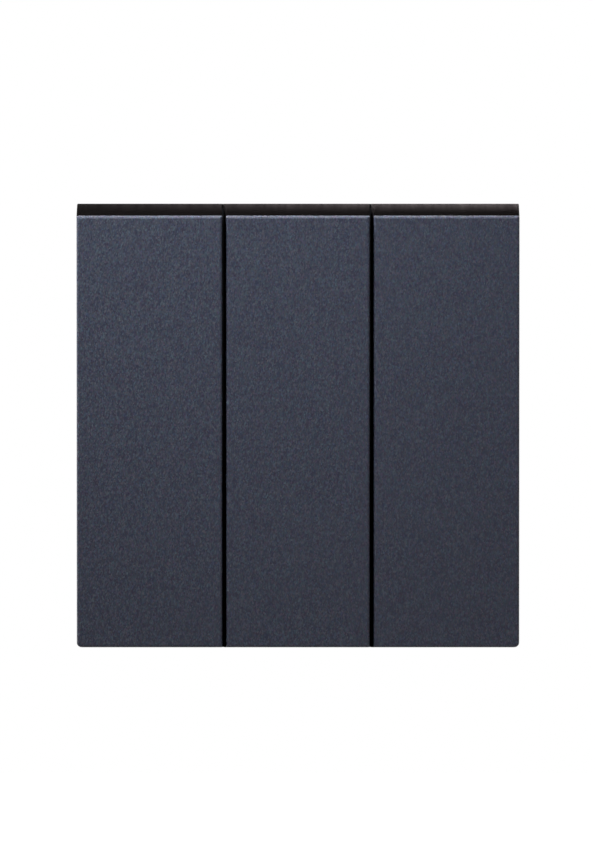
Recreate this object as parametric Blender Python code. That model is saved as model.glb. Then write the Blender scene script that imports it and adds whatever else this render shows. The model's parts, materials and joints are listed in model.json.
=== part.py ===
"""Three-gang rocker switch module in the 45 mm format, with three flush rocker caps.

The three lacquered caps are all that shows from the front. Behind them lies what they work:
a cradle with a sprung plunger under each cap, a see-saw contact under each plunger, a common
bus bar, three output terminals and five push-in clamps in one moulded housing.

Axes: +X to the right, +Y into the wall, +Z up. The origin is the centre of the plane in which
the module's rest pads lie on their support frame. Lengths are in metres, angles in radians.
The rocker pieces are drawn level, in axes centred on their pivot, and hang on an empty that
tilts them into the switched-off position.
"""

import math

import bmesh
import bpy
from mathutils import Matrix, Vector

MM = 0.001

# --- Clearances --------------------------------------------------------------------------
SEAT_GAP = 0.3 * MM  # between two pieces that rest on each other
RUNNING_GAP = 0.1 * MM  # radial, between a trunnion and its bearing

# --- Rocker caps -------------------------------------------------------------------------
MODULE_WIDTH = 45.0 * MM
ROCKER_PITCH = 15.0 * MM
CAP_GAP = 0.4 * MM
FACE_LENGTH = 44.0 * MM
CAP_DEPTH = 7.2 * MM
FACE_WALL = 1.1 * MM
SKIRT_WALL = 0.9 * MM
END_DRAFT = math.radians(5.0)  # the end skirts flare towards the back
EDGE_RADIUS = 0.25 * MM
OUTER_CORNER_RADIUS = 0.4 * MM
PLAIN_CORNER_RADIUS = 0.12 * MM
LIP_REACH = 0.2 * MM  # the lip that narrows the slot to the cap on the left
LIP_DEPTH = 2.6 * MM

# --- Motion ------------------------------------------------------------------------------
ROCKER_TILT = math.radians(5.0)
PIVOT_DEPTH = 7.1 * MM  # from the face to the rocker's axis
CONTACT_TILT = math.radians(7.0)

# --- Cradle and the clips that hold the cap on it -----------------------------------------
CRADLE_SIDE_GAP = 1.2 * MM
CRADLE_LENGTH = 30.0 * MM
CRADLE_THICKNESS = 1.6 * MM
RIB_WIDTH = 1.0 * MM
RIB_HEIGHT = 1.3 * MM
TUBE_RADIUS = 2.7 * MM
TUBE_REACH = 6.5 * MM  # behind the rocker's axis
TRUNNION_RADIUS = 1.2 * MM
CLIP_PLACE = 9.5 * MM  # from the axis to the middle of a clip leg
CLIP_WIDTH = 4.0 * MM
CLIP_THICKNESS = 1.0 * MM
CLIP_BARB = 0.5 * MM
CLIP_HOOK_LENGTH = 1.1 * MM
CLIP_FLEX_ROOM = 0.6 * MM

# --- Plunger and its spring ---------------------------------------------------------------
PLUNGER_RADIUS = 1.5 * MM
PLUNGER_REACH = 11.5 * MM  # from the rocker's axis to the tip
PLUNGER_LENGTH = 8.5 * MM
TIP_RADIUS = 1.0 * MM
SPRING_WIRE = 0.35 * MM
SPRING_RADIUS = 1.1 * MM  # of the wire's middle line
SPRING_TURNS = 5
SPRING_LENGTH = 4.9 * MM
TIP_GAP = 0.2 * MM  # over the see-saw, when the rocker is level

# --- Frame ----------------------------------------------------------------------------------
FLANGE_SETBACK = 0.3 * MM  # behind the outline of the caps
FLANGE_THICKNESS = 1.5 * MM
PAD_HEIGHT = 0.3 * MM
PAD_LENGTH = 11.0 * MM
PAD_EDGE = 0.25 * MM
LUG_THICKNESS = 1.4 * MM
LUG_SIDE_GAP = 0.5 * MM
LUG_WALL = 1.1 * MM
SNAP_WIDTH = 4.0 * MM
SNAP_THICKNESS = 1.0 * MM
SNAP_REACH = 5.2 * MM
SNAP_BARB = 1.1 * MM
SNAP_BARB_LENGTH = 1.5 * MM

# --- Housing ----------------------------------------------------------------------------------
END_SEAT = 2.4 * MM  # flange standing out over the housing, above and below
SIDE_SEAT = 0.9 * MM  # and at the left and right
HOUSING_WALL = 1.5 * MM
PARTITION = 1.2 * MM
SUPPORT_PLATE = 2.0 * MM  # sheet of the support frame that the latches grip
LATCH_WIDTH = 8.4 * MM
LATCH_SLOT = 0.7 * MM
LATCH_REACH = 1.5 * MM
LATCH_WEDGE_LENGTH = 3.4 * MM
LATCH_LENGTH = 9.0 * MM

# --- Contacts and terminals -----------------------------------------------------------------
SHEET = 0.8 * MM  # copper strip
SEESAW_WIDTH = 4.4 * MM
SEESAW_HALF = 9.2 * MM
EAR_LENGTH = 1.4 * MM
EAR_HALF = 1.2 * MM
EAR_THICKNESS = 0.6 * MM
CONTACT_ARM = 7.2 * MM
RIVET_HEAD_RADIUS = 1.5 * MM
RIVET_HEAD = 0.65 * MM
RIVET_SHANK_RADIUS = 0.7 * MM
RIVET_TAIL_RADIUS = 1.1 * MM
RIVET_TAIL = 0.35 * MM
FULCRUM_HALF = 1.1 * MM
BUS_HALF = 2.2 * MM
STRIP_WIDTH = 5.0 * MM
STRIP_END = 2.0 * MM  # past the middle of the fixed contact
BEND_RADIUS = 1.0 * MM  # of a strip's middle line
TERMINAL_DEPTH = 11.0 * MM  # from the strip's front to the rear wall
TERMINAL_BACK_GAP = 2.2 * MM
WIRE_SEAT = 1.75 * MM  # from the strip to the conductor's middle line
WIRE_HOLE_RADIUS = 1.5 * MM
WIRE_MOUTH_RADIUS = 2.0 * MM
CLAMP_SHEET = 0.4 * MM
CLAMP_WIDTH = 4.4 * MM
CLAMP_RISE = 7.2 * MM  # from the conductor to the spring's fixed leg
CLAMP_BEND_RISE = 5.0 * MM  # from the conductor to where the sprung leg leaves the bend
CLAMP_BEND_PLACE = 9.5 * MM  # from the strip's front
CLAMP_TIP_PLACE = 3.4 * MM
CLAMP_LEG_PLACE = 2.4 * MM
CLAMP_BEND_RADIUS = 0.9 * MM
RELEASE_WIDTH = 3.0 * MM
RELEASE_HEIGHT = 2.0 * MM
RELEASE_RISE = 3.7 * MM  # from the conductor to the button's middle
RELEASE_COLLAR = 0.7 * MM
RELEASE_COLLAR_LENGTH = 0.6 * MM
CONTACT_CLEARANCE = 0.3 * MM  # left between closed contacts

# --- Fineness of round shapes -----------------------------------------------------------------
ROUND_SIDES = 24
SMALL_ROUND_SIDES = 16
SPRING_POINTS_PER_TURN = 10
CORNER_STEPS = 4
EDGE_STEPS = 3
BEND_STEPS = 4

OVERCUT = 0.5 * MM  # how far a cutter or a joined root runs past the face it goes through

# --- Places that follow from the sizes above ----------------------------------------------------
INNER_EDGE = ROCKER_PITCH / 2 - CAP_GAP / 2  # half the middle cap's width
OUTER_LOW = ROCKER_PITCH / 2 + CAP_GAP / 2
OUTER_HIGH = MODULE_WIDTH / 2
GANGS = {
    "left": (-OUTER_HIGH, -OUTER_LOW),
    "middle": (-INNER_EDGE, INNER_EDGE),
    "right": (OUTER_LOW, OUTER_HIGH),
}
LINE_GANGS = ("left", "right")

CAP_BACK = CAP_DEPTH - PIVOT_DEPTH  # in the rocker's own axes
CAP_INSIDE = FACE_WALL - PIVOT_DEPTH
BACK_HALF = FACE_LENGTH / 2 + CAP_DEPTH * math.tan(END_DRAFT)
FLANGE_FRONT = -(FLANGE_THICKNESS + PAD_HEIGHT)
PIVOT_Y = (
    FLANGE_FRONT
    - SEAT_GAP
    - CAP_BACK * math.cos(ROCKER_TILT)
    - BACK_HALF * math.sin(ROCKER_TILT)
)

CRADLE_FRONT = CAP_INSIDE + SEAT_GAP
CRADLE_BACK = CRADLE_FRONT + CRADLE_THICKNESS
CRADLE_HALF = INNER_EDGE - SKIRT_WALL - CRADLE_SIDE_GAP
TUBE_BORE = PLUNGER_RADIUS + 0.2 * MM
LUG_INNER = TUBE_RADIUS + LUG_SIDE_GAP
LUG_OUTER = LUG_INNER + LUG_THICKNESS
BEARING_RADIUS = TRUNNION_RADIUS + RUNNING_GAP
LUG_RADIUS = BEARING_RADIUS + LUG_WALL
PLUNGER_FRONT = PLUNGER_REACH - PLUNGER_LENGTH
SPRING_FRONT = PLUNGER_FRONT - SEAT_GAP - SPRING_LENGTH
BORE_BOTTOM = SPRING_FRONT - SEAT_GAP

REST_DROP = (
    FACE_LENGTH / 2 * math.cos(ROCKER_TILT) + PIVOT_DEPTH * math.sin(ROCKER_TILT)
)
FLANGE_X = MODULE_WIDTH / 2 - FLANGE_SETBACK
FLANGE_Z = REST_DROP - FLANGE_SETBACK
FLANGE_BACK = -PAD_HEIGHT
HOUSING_X = FLANGE_X - SIDE_SEAT
HOUSING_Z = FLANGE_Z - END_SEAT
INSIDE_X = HOUSING_X - HOUSING_WALL
INSIDE_Z = HOUSING_Z - HOUSING_WALL
OUTER_GANG_X = (OUTER_LOW + OUTER_HIGH) / 2

SEESAW_Y = PIVOT_Y + PLUNGER_REACH + TIP_GAP + SHEET  # the see-saw turns on its back face
FIXED_CONTACT_Y = (
    SEESAW_Y
    + RIVET_HEAD * math.cos(CONTACT_TILT)
    + (CONTACT_ARM + RIVET_HEAD_RADIUS) * math.sin(CONTACT_TILT)
    + CONTACT_CLEARANCE
)
STRIP_FRONT = FIXED_CONTACT_Y + RIVET_HEAD
STRIP_BACK = STRIP_FRONT + SHEET
FULCRUM_TIP = SEESAW_Y + SEAT_GAP
REAR_INSIDE = STRIP_FRONT + TERMINAL_DEPTH
REAR_OUTSIDE = REAR_INSIDE + HOUSING_WALL
STRIP_LEVEL = INSIDE_Z - SEAT_GAP - SHEET / 2  # of the run along the housing's wall
WIRE_LEVEL = STRIP_LEVEL - SHEET / 2 - WIRE_SEAT
CLAMP_LEVEL = WIRE_LEVEL - CLAMP_RISE
SHELF_OUTER = CLAMP_LEVEL - CLAMP_SHEET / 2 - SEAT_GAP
RELEASE_HOLE_HALF = RELEASE_WIDTH / 2 + SEAT_GAP / 2

MATERIALS = {
    "anthracite_lacquer": ((0.052, 0.062, 0.087), 0.42, 0.35),
    "black_plastic": ((0.022, 0.020, 0.021), 0.48, 0.0),
    "grey_plastic": ((0.33, 0.34, 0.35), 0.50, 0.0),
    "white_acetal": ((0.76, 0.76, 0.73), 0.38, 0.0),
    "orange_plastic": ((0.72, 0.21, 0.03), 0.45, 0.0),
    "copper": ((0.72, 0.35, 0.21), 0.32, 1.0),
    "silver": ((0.80, 0.79, 0.76), 0.28, 1.0),
    "spring_steel": ((0.52, 0.53, 0.55), 0.30, 1.0),
}


# --- Mesh helpers ---------------------------------------------------------------------------


def add_box(bm, low, high):
    """Adds a closed box between two corners."""
    size = [b - a for a, b in zip(low, high)]
    middle = [(a + b) / 2 for a, b in zip(low, high)]
    place = Matrix.Translation(middle) @ Matrix.Diagonal((*size, 1.0))
    bmesh.ops.create_cube(bm, size=1.0, matrix=place)


def add_prism(bm, outline, x_low, x_high):
    """Extrudes a closed outline of (y, z) points along X."""
    verts = [bm.verts.new((x_low, y, z)) for y, z in outline]
    face = bm.faces.new(verts)
    grown = bmesh.ops.extrude_face_region(bm, geom=[face], use_keep_orig=True)
    moved = [item for item in grown["geom"] if isinstance(item, bmesh.types.BMVert)]
    bmesh.ops.translate(bm, verts=moved, vec=(x_high - x_low, 0.0, 0.0))


def add_cross_cylinder(bm, x_low, x_high, y, z, radius, sides):
    """Adds a closed cylinder whose axis runs along X."""
    place = Matrix.Translation(((x_low + x_high) / 2, y, z)) @ Matrix.Rotation(
        math.pi / 2, 4, "Y"
    )
    bmesh.ops.create_cone(
        bm,
        cap_ends=True,
        segments=sides,
        radius1=radius,
        radius2=radius,
        depth=x_high - x_low,
        matrix=place,
    )


def add_turned(bm, profile, x, z, sides):
    """Turns a profile of (y, radius) points about an axis along Y, closed by a flat at each end."""
    rings = []
    for y, radius in profile:
        turn = [2 * math.pi * k / sides for k in range(sides)]
        rings.append(
            [
                bm.verts.new((x + radius * math.cos(a), y, z + radius * math.sin(a)))
                for a in turn
            ]
        )
    for near, far in zip(rings, rings[1:]):
        for k in range(sides):
            bm.faces.new((near[k - 1], near[k], far[k], far[k - 1]))
    bm.faces.new(rings[0])
    bm.faces.new(rings[-1])


def rounded_path(points, radius):
    """Replaces the inner corners of a path of (y, z) points by arcs."""
    path = [Vector(points[0])]
    for before, corner, after in zip(points, points[1:], points[2:]):
        here = Vector(corner)
        back = (Vector(before) - here).normalized()
        ahead = (Vector(after) - here).normalized()
        half = back.angle(ahead) / 2
        run = radius / math.tan(half)
        centre = here + (back + ahead).normalized() * radius / math.sin(half)
        start = here + back * run - centre
        sweep = math.pi - 2 * half
        if back.x * ahead.y - back.y * ahead.x > 0:
            sweep = -sweep
        for step in range(BEND_STEPS + 1):
            turn = Matrix.Rotation(sweep * step / BEND_STEPS, 2)
            path.append(centre + turn @ start)
    path.append(Vector(points[-1]))
    return path


def strip_outline(path, thickness):
    """The outline of a sheet strip whose middle line is the path, as (y, z) points."""
    sides = ([], [])
    for k, here in enumerate(path):
        runs = []
        if k > 0:
            runs.append((here - path[k - 1]).normalized())
        if k < len(path) - 1:
            runs.append((path[k + 1] - here).normalized())
        along = sum(runs, Vector((0.0, 0.0))).normalized()
        across = Vector((-along.y, along.x))
        reach = thickness / 2 / abs(along.dot(runs[0]))
        sides[0].append(tuple(here + across * reach))
        sides[1].append(tuple(here - across * reach))
    return sides[0] + sides[1][::-1]


def material(name):
    """The named material, made on its first use."""
    found = bpy.data.materials.get(name)
    if found:
        return found
    colour, roughness, metallic = MATERIALS[name]
    made = bpy.data.materials.new(name)
    made.use_nodes = True
    shader = made.node_tree.nodes["Principled BSDF"]
    shader.inputs["Base Color"].default_value = (*colour, 1.0)
    shader.inputs["Roughness"].default_value = roughness
    shader.inputs["Metallic"].default_value = metallic
    made.diffuse_color = (*colour, 1.0)
    return made


def place_mesh(name, bm, parent=None):
    """Makes an object of a bmesh, with its faces pointing out."""
    bmesh.ops.recalc_face_normals(bm, faces=bm.faces[:])
    mesh = bpy.data.meshes.new(name)
    bm.to_mesh(mesh)
    bm.free()
    made = bpy.data.objects.new(name, mesh)
    bpy.context.scene.collection.objects.link(made)
    made.parent = parent
    return made


def make_piece(name, bm, material_name, parent=None, smooth=True):
    """Makes a piece of the module, whose edges of under 35 degrees are shaded smooth."""
    made = place_mesh(name, bm, parent)
    made.data.materials.append(material(material_name))
    if smooth:
        made.data.shade_smooth()
        made.data.set_sharp_from_angle(angle=math.radians(35.0))
    return made


def combine(target, name, bm, operation):
    """Joins a shape to a piece, or cuts it out, by a Boolean modifier."""
    tool = place_mesh(f"{target.name}_{name}", bm, target.parent)
    tool.hide_render = True
    tool.display_type = "WIRE"
    modifier = target.modifiers.new(name, "BOOLEAN")
    modifier.operation = operation
    modifier.solver = "EXACT"
    modifier.object = tool


def make_pivot(name, place, tilt):
    """An empty on a joint's axis, tilted about X."""
    pivot = bpy.data.objects.new(name, None)
    pivot.empty_display_size = 4 * MM
    pivot.location = place
    pivot.rotation_euler = (tilt, 0.0, 0.0)
    bpy.context.scene.collection.objects.link(pivot)
    return pivot


# --- Rocker caps ----------------------------------------------------------------------------


def cap_loop(x_low, x_high, half_length, radii, y):
    """A rounded rectangle of points at one depth of a cap.

    The radii belong to the corners at the lower left, lower right, upper right and upper left.
    """
    corners = (
        (x_low, -half_length, 1, 1),
        (x_high, -half_length, -1, 1),
        (x_high, half_length, -1, -1),
        (x_low, half_length, 1, -1),
    )
    points = []
    for number, (radius, (x, z, to_x, to_z)) in enumerate(zip(radii, corners)):
        for step in range(CORNER_STEPS + 1):
            turn = math.pi + (number + step / CORNER_STEPS) * math.pi / 2
            points.append(
                (
                    x + to_x * radius + radius * math.cos(turn),
                    y,
                    z + to_z * radius + radius * math.sin(turn),
                )
            )
    return points


def cap_loops(gang):
    """The loops of points down a cap's outside and up its inside, in the rocker's axes."""
    low, high = GANGS[gang]
    middle = (low + high) / 2
    x_low, x_high = low - middle, high - middle
    outer_left = gang == "left"
    outer_right = gang == "right"
    base_radii = (
        OUTER_CORNER_RADIUS if outer_left else PLAIN_CORNER_RADIUS,
        OUTER_CORNER_RADIUS if outer_right else PLAIN_CORNER_RADIUS,
        PLAIN_CORNER_RADIUS,
        PLAIN_CORNER_RADIUS,
    )
    slope = math.tan(END_DRAFT)
    lip = 0.0 if outer_left else LIP_REACH

    def outside(inset, depth, flare):
        radii = [max(r - inset, PLAIN_CORNER_RADIUS / 2) for r in base_radii]
        half = FACE_LENGTH / 2 - inset + depth * slope
        return cap_loop(
            x_low + inset - flare, x_high - inset, half, radii, depth - PIVOT_DEPTH
        )

    def inside(depth):
        half = FACE_LENGTH / 2 - SKIRT_WALL + depth * slope
        radii = [PLAIN_CORNER_RADIUS] * 4
        return cap_loop(
            x_low + SKIRT_WALL, x_high - SKIRT_WALL, half, radii, depth - PIVOT_DEPTH
        )

    loops = []
    for step in range(EDGE_STEPS + 1):
        turn = math.pi / 2 * step / EDGE_STEPS
        inset = EDGE_RADIUS * (1 - math.sin(turn))
        loops.append(outside(inset, EDGE_RADIUS * (1 - math.cos(turn)), 0.0))
    if lip:
        loops.append(outside(0.0, CAP_DEPTH - LIP_DEPTH, 0.0))
        loops.append(outside(0.0, CAP_DEPTH - LIP_DEPTH / 2, lip * 0.7))
    loops.append(outside(0.0, CAP_DEPTH, lip))
    loops.append(inside(CAP_DEPTH))
    loops.append(inside(FACE_WALL))
    return loops


def clip_outline(side):
    """One clip leg under the cap, in (y, z), with its barb on the side away from the axis."""
    inner = CLIP_PLACE - CLIP_THICKNESS / 2
    outer = CLIP_PLACE + CLIP_THICKNESS / 2
    hook = CRADLE_BACK + SEAT_GAP
    points = (
        (CAP_INSIDE - FACE_WALL / 2, inner),
        (hook + CLIP_HOOK_LENGTH, inner),
        (hook + CLIP_HOOK_LENGTH, outer),
        (hook + CLIP_HOOK_LENGTH / 3, outer + CLIP_BARB),
        (hook, outer + CLIP_BARB),
        (hook, outer),
        (CAP_INSIDE - FACE_WALL / 2, outer),
    )
    return [(y, z * side) for y, z in points]


def rocker_cap(gang, pivot):
    """A lacquered cap: a shell open to the back, with two clip legs."""
    bm = bmesh.new()
    loops = [[bm.verts.new(p) for p in loop] for loop in cap_loops(gang)]
    count = len(loops[0])
    for near, far in zip(loops, loops[1:]):
        for k in range(count):
            bm.faces.new((near[k - 1], near[k], far[k], far[k - 1]))
    bm.faces.new(loops[0])
    bm.faces.new(loops[-1])
    cap = make_piece(f"rocker_cap_{gang}", bm, "anthracite_lacquer", pivot)
    legs = bmesh.new()
    for side in (1, -1):
        add_prism(legs, clip_outline(side), -CLIP_WIDTH / 2, CLIP_WIDTH / 2)
    combine(cap, "clip_legs", legs, "UNION")


# --- Cradle, plunger and spring ---------------------------------------------------------------


def rocker_cradle(gang, pivot):
    """The carrier under a cap: a plate with clip slots, a plunger tube and two trunnions."""
    bm = bmesh.new()
    add_box(
        bm,
        (-CRADLE_HALF, CRADLE_FRONT, -CRADLE_LENGTH / 2),
        (CRADLE_HALF, CRADLE_BACK, CRADLE_LENGTH / 2),
    )
    cradle = make_piece(f"rocker_cradle_{gang}", bm, "grey_plastic", pivot)

    tube = bmesh.new()
    start = CRADLE_BACK - CRADLE_THICKNESS / 2
    add_turned(
        tube, ((start, TUBE_RADIUS), (TUBE_REACH, TUBE_RADIUS)), 0.0, 0.0, ROUND_SIDES
    )
    combine(cradle, "tube", tube, "UNION")

    bore = bmesh.new()
    past = TUBE_REACH + OVERCUT
    add_turned(bore, ((BORE_BOTTOM, TUBE_BORE), (past, TUBE_BORE)), 0.0, 0.0, ROUND_SIDES)
    combine(cradle, "bore", bore, "DIFFERENCE")

    arms = bmesh.new()
    root = (TUBE_RADIUS + TUBE_BORE) / 2
    tip = LUG_OUTER - RUNNING_GAP
    ends = ((root, tip), (-tip, -root))
    for x_low, x_high in ends:
        add_cross_cylinder(arms, x_low, x_high, 0.0, 0.0, TRUNNION_RADIUS, ROUND_SIDES)
    rib_top = CLIP_PLACE - CLIP_THICKNESS / 2 - 2 * CLIP_FLEX_ROOM
    rib_root = (TUBE_RADIUS + TUBE_BORE) / 2
    for side in (1, -1):
        low, high = sorted((side * rib_root, side * rib_top))
        add_box(
            arms,
            (-RIB_WIDTH / 2, CRADLE_BACK - CRADLE_THICKNESS / 3, low),
            (RIB_WIDTH / 2, CRADLE_BACK + RIB_HEIGHT, high),
        )
    combine(cradle, "trunnions_and_ribs", arms, "UNION")

    slots = bmesh.new()
    half = CLIP_WIDTH / 2 + SEAT_GAP
    for side in (1, -1):
        inner = side * (CLIP_PLACE - CLIP_THICKNESS / 2 - CLIP_FLEX_ROOM)
        outer = side * (CLIP_PLACE + CLIP_THICKNESS / 2 + SEAT_GAP)
        low, high = sorted((inner, outer))
        add_box(
            slots,
            (-half, CRADLE_FRONT - OVERCUT, low),
            (half, CRADLE_BACK + OVERCUT, high),
        )
    combine(cradle, "clip_slots", slots, "DIFFERENCE")


def plunger(gang, pivot):
    """The round-tipped pin that the spring holds against the see-saw."""
    shoulder = PLUNGER_REACH - TIP_RADIUS - PLUNGER_RADIUS
    profile = [(PLUNGER_FRONT, PLUNGER_RADIUS), (shoulder, PLUNGER_RADIUS)]
    steps = 4
    for step in range(steps):
        turn = math.pi / 2 * step / steps
        along = PLUNGER_REACH - TIP_RADIUS + TIP_RADIUS * math.sin(turn)
        profile.append((along, TIP_RADIUS * math.cos(turn)))
    profile.append((PLUNGER_REACH, TIP_RADIUS * 0.15))
    bm = bmesh.new()
    add_turned(bm, profile, 0.0, 0.0, SMALL_ROUND_SIDES)
    make_piece(f"plunger_{gang}", bm, "white_acetal", pivot)


def spring_points():
    """The middle line of the coil, with a straight end one wire diameter long at each end."""
    count = SPRING_TURNS * SPRING_POINTS_PER_TURN
    rise = SPRING_LENGTH - SPRING_WIRE
    points = []
    for k in range(count + 1):
        turn = 2 * math.pi * k / SPRING_POINTS_PER_TURN
        y = SPRING_FRONT + SPRING_WIRE / 2 + rise * k / count
        points.append(
            Vector((SPRING_RADIUS * math.cos(turn), y, SPRING_RADIUS * math.sin(turn)))
        )
    tangent = Vector((0.0, 0.0, SPRING_WIRE))
    return [points[0] - tangent, *points, points[-1] + tangent]


def least_coil_gap(points):
    """The least gap between the turns, measured between points at least half a turn apart."""
    apart = SPRING_POINTS_PER_TURN // 2
    least = min(
        (a - b).length
        for k, a in enumerate(points)
        for b in points[k + apart :]
    )
    return least - SPRING_WIRE


def plunger_spring(gang, pivot):
    """The compression spring in the cradle's bore."""
    points = spring_points()
    curve = bpy.data.curves.new(f"plunger_spring_{gang}", "CURVE")
    curve.dimensions = "3D"
    spline = curve.splines.new("POLY")
    spline.points.add(len(points) - 1)
    for target, point in zip(spline.points, points):
        target.co = (*point, 1.0)
    curve.bevel_depth = SPRING_WIRE / 2
    curve.bevel_resolution = 1
    curve.use_fill_caps = True
    curve.materials.append(material("spring_steel"))
    made = bpy.data.objects.new(f"plunger_spring_{gang}", curve)
    bpy.context.scene.collection.objects.link(made)
    made.parent = pivot
    print(f"plunger_spring_{gang}: least gap {least_coil_gap(points) / MM:.2f} mm")


# --- See-saw contact -------------------------------------------------------------------------


def add_rivet(bm, head_y, x, z, backward):
    """A contact rivet through a sheet, its head at head_y and its tail on the far side.

    The head is towards +Y of the sheet where backward is true, and towards -Y otherwise.
    """
    way = -1.0 if backward else 1.0
    grip = SHEET + 2 * SEAT_GAP / 3
    lengths = (
        (0.0, RIVET_HEAD_RADIUS * 0.8),
        (RIVET_HEAD * 0.35, RIVET_HEAD_RADIUS),
        (RIVET_HEAD - SEAT_GAP / 3, RIVET_HEAD_RADIUS),
        (RIVET_HEAD - SEAT_GAP / 3, RIVET_SHANK_RADIUS),
        (RIVET_HEAD - SEAT_GAP / 3 + grip, RIVET_SHANK_RADIUS),
        (RIVET_HEAD - SEAT_GAP / 3 + grip, RIVET_TAIL_RADIUS),
        (RIVET_HEAD - SEAT_GAP / 3 + grip + RIVET_TAIL, RIVET_TAIL_RADIUS * 0.7),
    )
    profile = [(head_y + way * along, radius) for along, radius in lengths]
    add_turned(bm, profile, x, z, SMALL_ROUND_SIDES)


def add_rivet_hole(bm, y_low, y_high, x, z):
    """A cutter for the hole that a rivet's shank passes with clearance."""
    radius = RIVET_SHANK_RADIUS + SEAT_GAP / 2
    profile = ((y_low - OVERCUT, radius), (y_high + OVERCUT, radius))
    add_turned(bm, profile, x, z, SMALL_ROUND_SIDES)


def contact_rocker(gang, pivot):
    """The copper see-saw, with two ears that keep it on its fulcrum, and its contact rivet."""
    half = SEESAW_WIDTH / 2
    bm = bmesh.new()
    add_box(bm, (-half, -SHEET, -SEESAW_HALF), (half, 0.0, SEESAW_HALF))
    seesaw = make_piece(f"contact_rocker_{gang}", bm, "copper", pivot, smooth=False)
    ears = bmesh.new()
    for low in (half - SHEET / 4, -half + SHEET / 4 - EAR_THICKNESS):
        add_box(
            ears,
            (low, -SHEET * 0.75, -EAR_HALF),
            (low + EAR_THICKNESS, EAR_LENGTH, EAR_HALF),
        )
    combine(seesaw, "ears", ears, "UNION")
    hole = bmesh.new()
    add_rivet_hole(hole, -SHEET, 0.0, 0.0, -CONTACT_ARM)
    combine(seesaw, "rivet_hole", hole, "DIFFERENCE")

    rivet = bmesh.new()
    add_rivet(rivet, RIVET_HEAD, 0.0, -CONTACT_ARM, backward=True)
    make_piece(f"moving_contact_{gang}", rivet, "silver", pivot)


# --- Terminals --------------------------------------------------------------------------------


def terminal_path(side, start):
    """A terminal strip's middle line in (y, z): along the contact plane, then to the rear."""
    y = STRIP_FRONT + SHEET / 2
    end = REAR_INSIDE - TERMINAL_BACK_GAP
    corners = ((y, start), (y, side * STRIP_LEVEL), (end, side * STRIP_LEVEL))
    return rounded_path(corners, BEND_RADIUS)


def output_terminal(gang, x):
    """A switched output: a copper strip with a fixed contact, and the contact's rivet."""
    half = STRIP_WIDTH / 2
    path = terminal_path(-1, -CONTACT_ARM + STRIP_END)
    bm = bmesh.new()
    add_prism(bm, strip_outline(path, SHEET), x - half, x + half)
    strip = make_piece(f"output_terminal_{gang}", bm, "copper")
    hole = bmesh.new()
    add_rivet_hole(hole, STRIP_FRONT, STRIP_BACK, x, -CONTACT_ARM)
    combine(strip, "rivet_hole", hole, "DIFFERENCE")
    rivet = bmesh.new()
    add_rivet(rivet, FIXED_CONTACT_Y, x, -CONTACT_ARM, backward=False)
    make_piece(f"fixed_contact_{gang}", rivet, "silver")


def fulcrum_outline():
    """The blunt knife edge that a see-saw rocks on, in (y, z)."""
    root = STRIP_FRONT + SHEET / 2
    shoulder = FULCRUM_TIP + FULCRUM_HALF
    blunt = FULCRUM_HALF / 4
    return (
        (root, -FULCRUM_HALF),
        (shoulder, -FULCRUM_HALF),
        (FULCRUM_TIP, -blunt),
        (FULCRUM_TIP, blunt),
        (shoulder, FULCRUM_HALF),
        (root, FULCRUM_HALF),
    )


def line_busbar(gang_places):
    """The common line conductor: a bar, three fulcrums and two clamped ends."""
    half = STRIP_WIDTH / 2
    reach = OUTER_GANG_X + half
    bm = bmesh.new()
    add_box(bm, (-reach, STRIP_FRONT, -BUS_HALF), (reach, STRIP_BACK, BUS_HALF))
    bar = make_piece("line_busbar", bm, "copper")
    legs = bmesh.new()
    for gang in LINE_GANGS:
        x = gang_places[gang]
        outline = strip_outline(terminal_path(1, BUS_HALF / 2), SHEET)
        add_prism(legs, outline, x - half, x + half)
    combine(bar, "legs", legs, "UNION")
    fulcrums = bmesh.new()
    width = SEESAW_WIDTH / 2 - SHEET / 4 - EAR_THICKNESS / 2
    for x in gang_places.values():
        add_prism(fulcrums, fulcrum_outline(), x - width, x + width)
    combine(bar, "fulcrums", fulcrums, "UNION")


def clamp_path(side):
    """A clamp spring's middle line in (y, z): its fixed leg, the bend, and the sprung leg."""
    rises = (
        (CLAMP_LEG_PLACE, CLAMP_RISE),
        (CLAMP_BEND_PLACE, CLAMP_RISE),
        (CLAMP_BEND_PLACE, CLAMP_BEND_RISE),
        (CLAMP_TIP_PLACE, CLAMP_SHEET / 2 + SEAT_GAP - WIRE_SEAT),
    )
    corners = [(STRIP_FRONT + y, side * (WIRE_LEVEL - rise)) for y, rise in rises]
    return rounded_path(corners, CLAMP_BEND_RADIUS)


def clamp_spring(name, side, x):
    """A bent leaf spring that clamps a conductor on its strip."""
    half = CLAMP_WIDTH / 2
    bm = bmesh.new()
    add_prism(bm, strip_outline(clamp_path(side), CLAMP_SHEET), x - half, x + half)
    make_piece(name, bm, "spring_steel")


def release_outline(side):
    """A release button in (y, z): square at the back, slanted like the sprung leg in front."""
    rise = CLAMP_BEND_RISE - (CLAMP_SHEET / 2 + SEAT_GAP - WIRE_SEAT)
    lean = (CLAMP_BEND_PLACE - CLAMP_TIP_PLACE) / rise
    slack = (SEAT_GAP + CLAMP_SHEET / 2) * math.hypot(1.0, lean) + SEAT_GAP / 3
    low = RELEASE_RISE - RELEASE_HEIGHT / 2
    high = RELEASE_RISE + RELEASE_HEIGHT / 2

    def front(level):
        return STRIP_FRONT + CLAMP_BEND_PLACE - (CLAMP_BEND_RISE - level) * lean + slack

    back = REAR_OUTSIDE - SEAT_GAP
    points = ((back, low), (back, high), (front(high), high), (front(low), low))
    return [(y, side * (WIRE_LEVEL - level)) for y, level in points]


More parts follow.
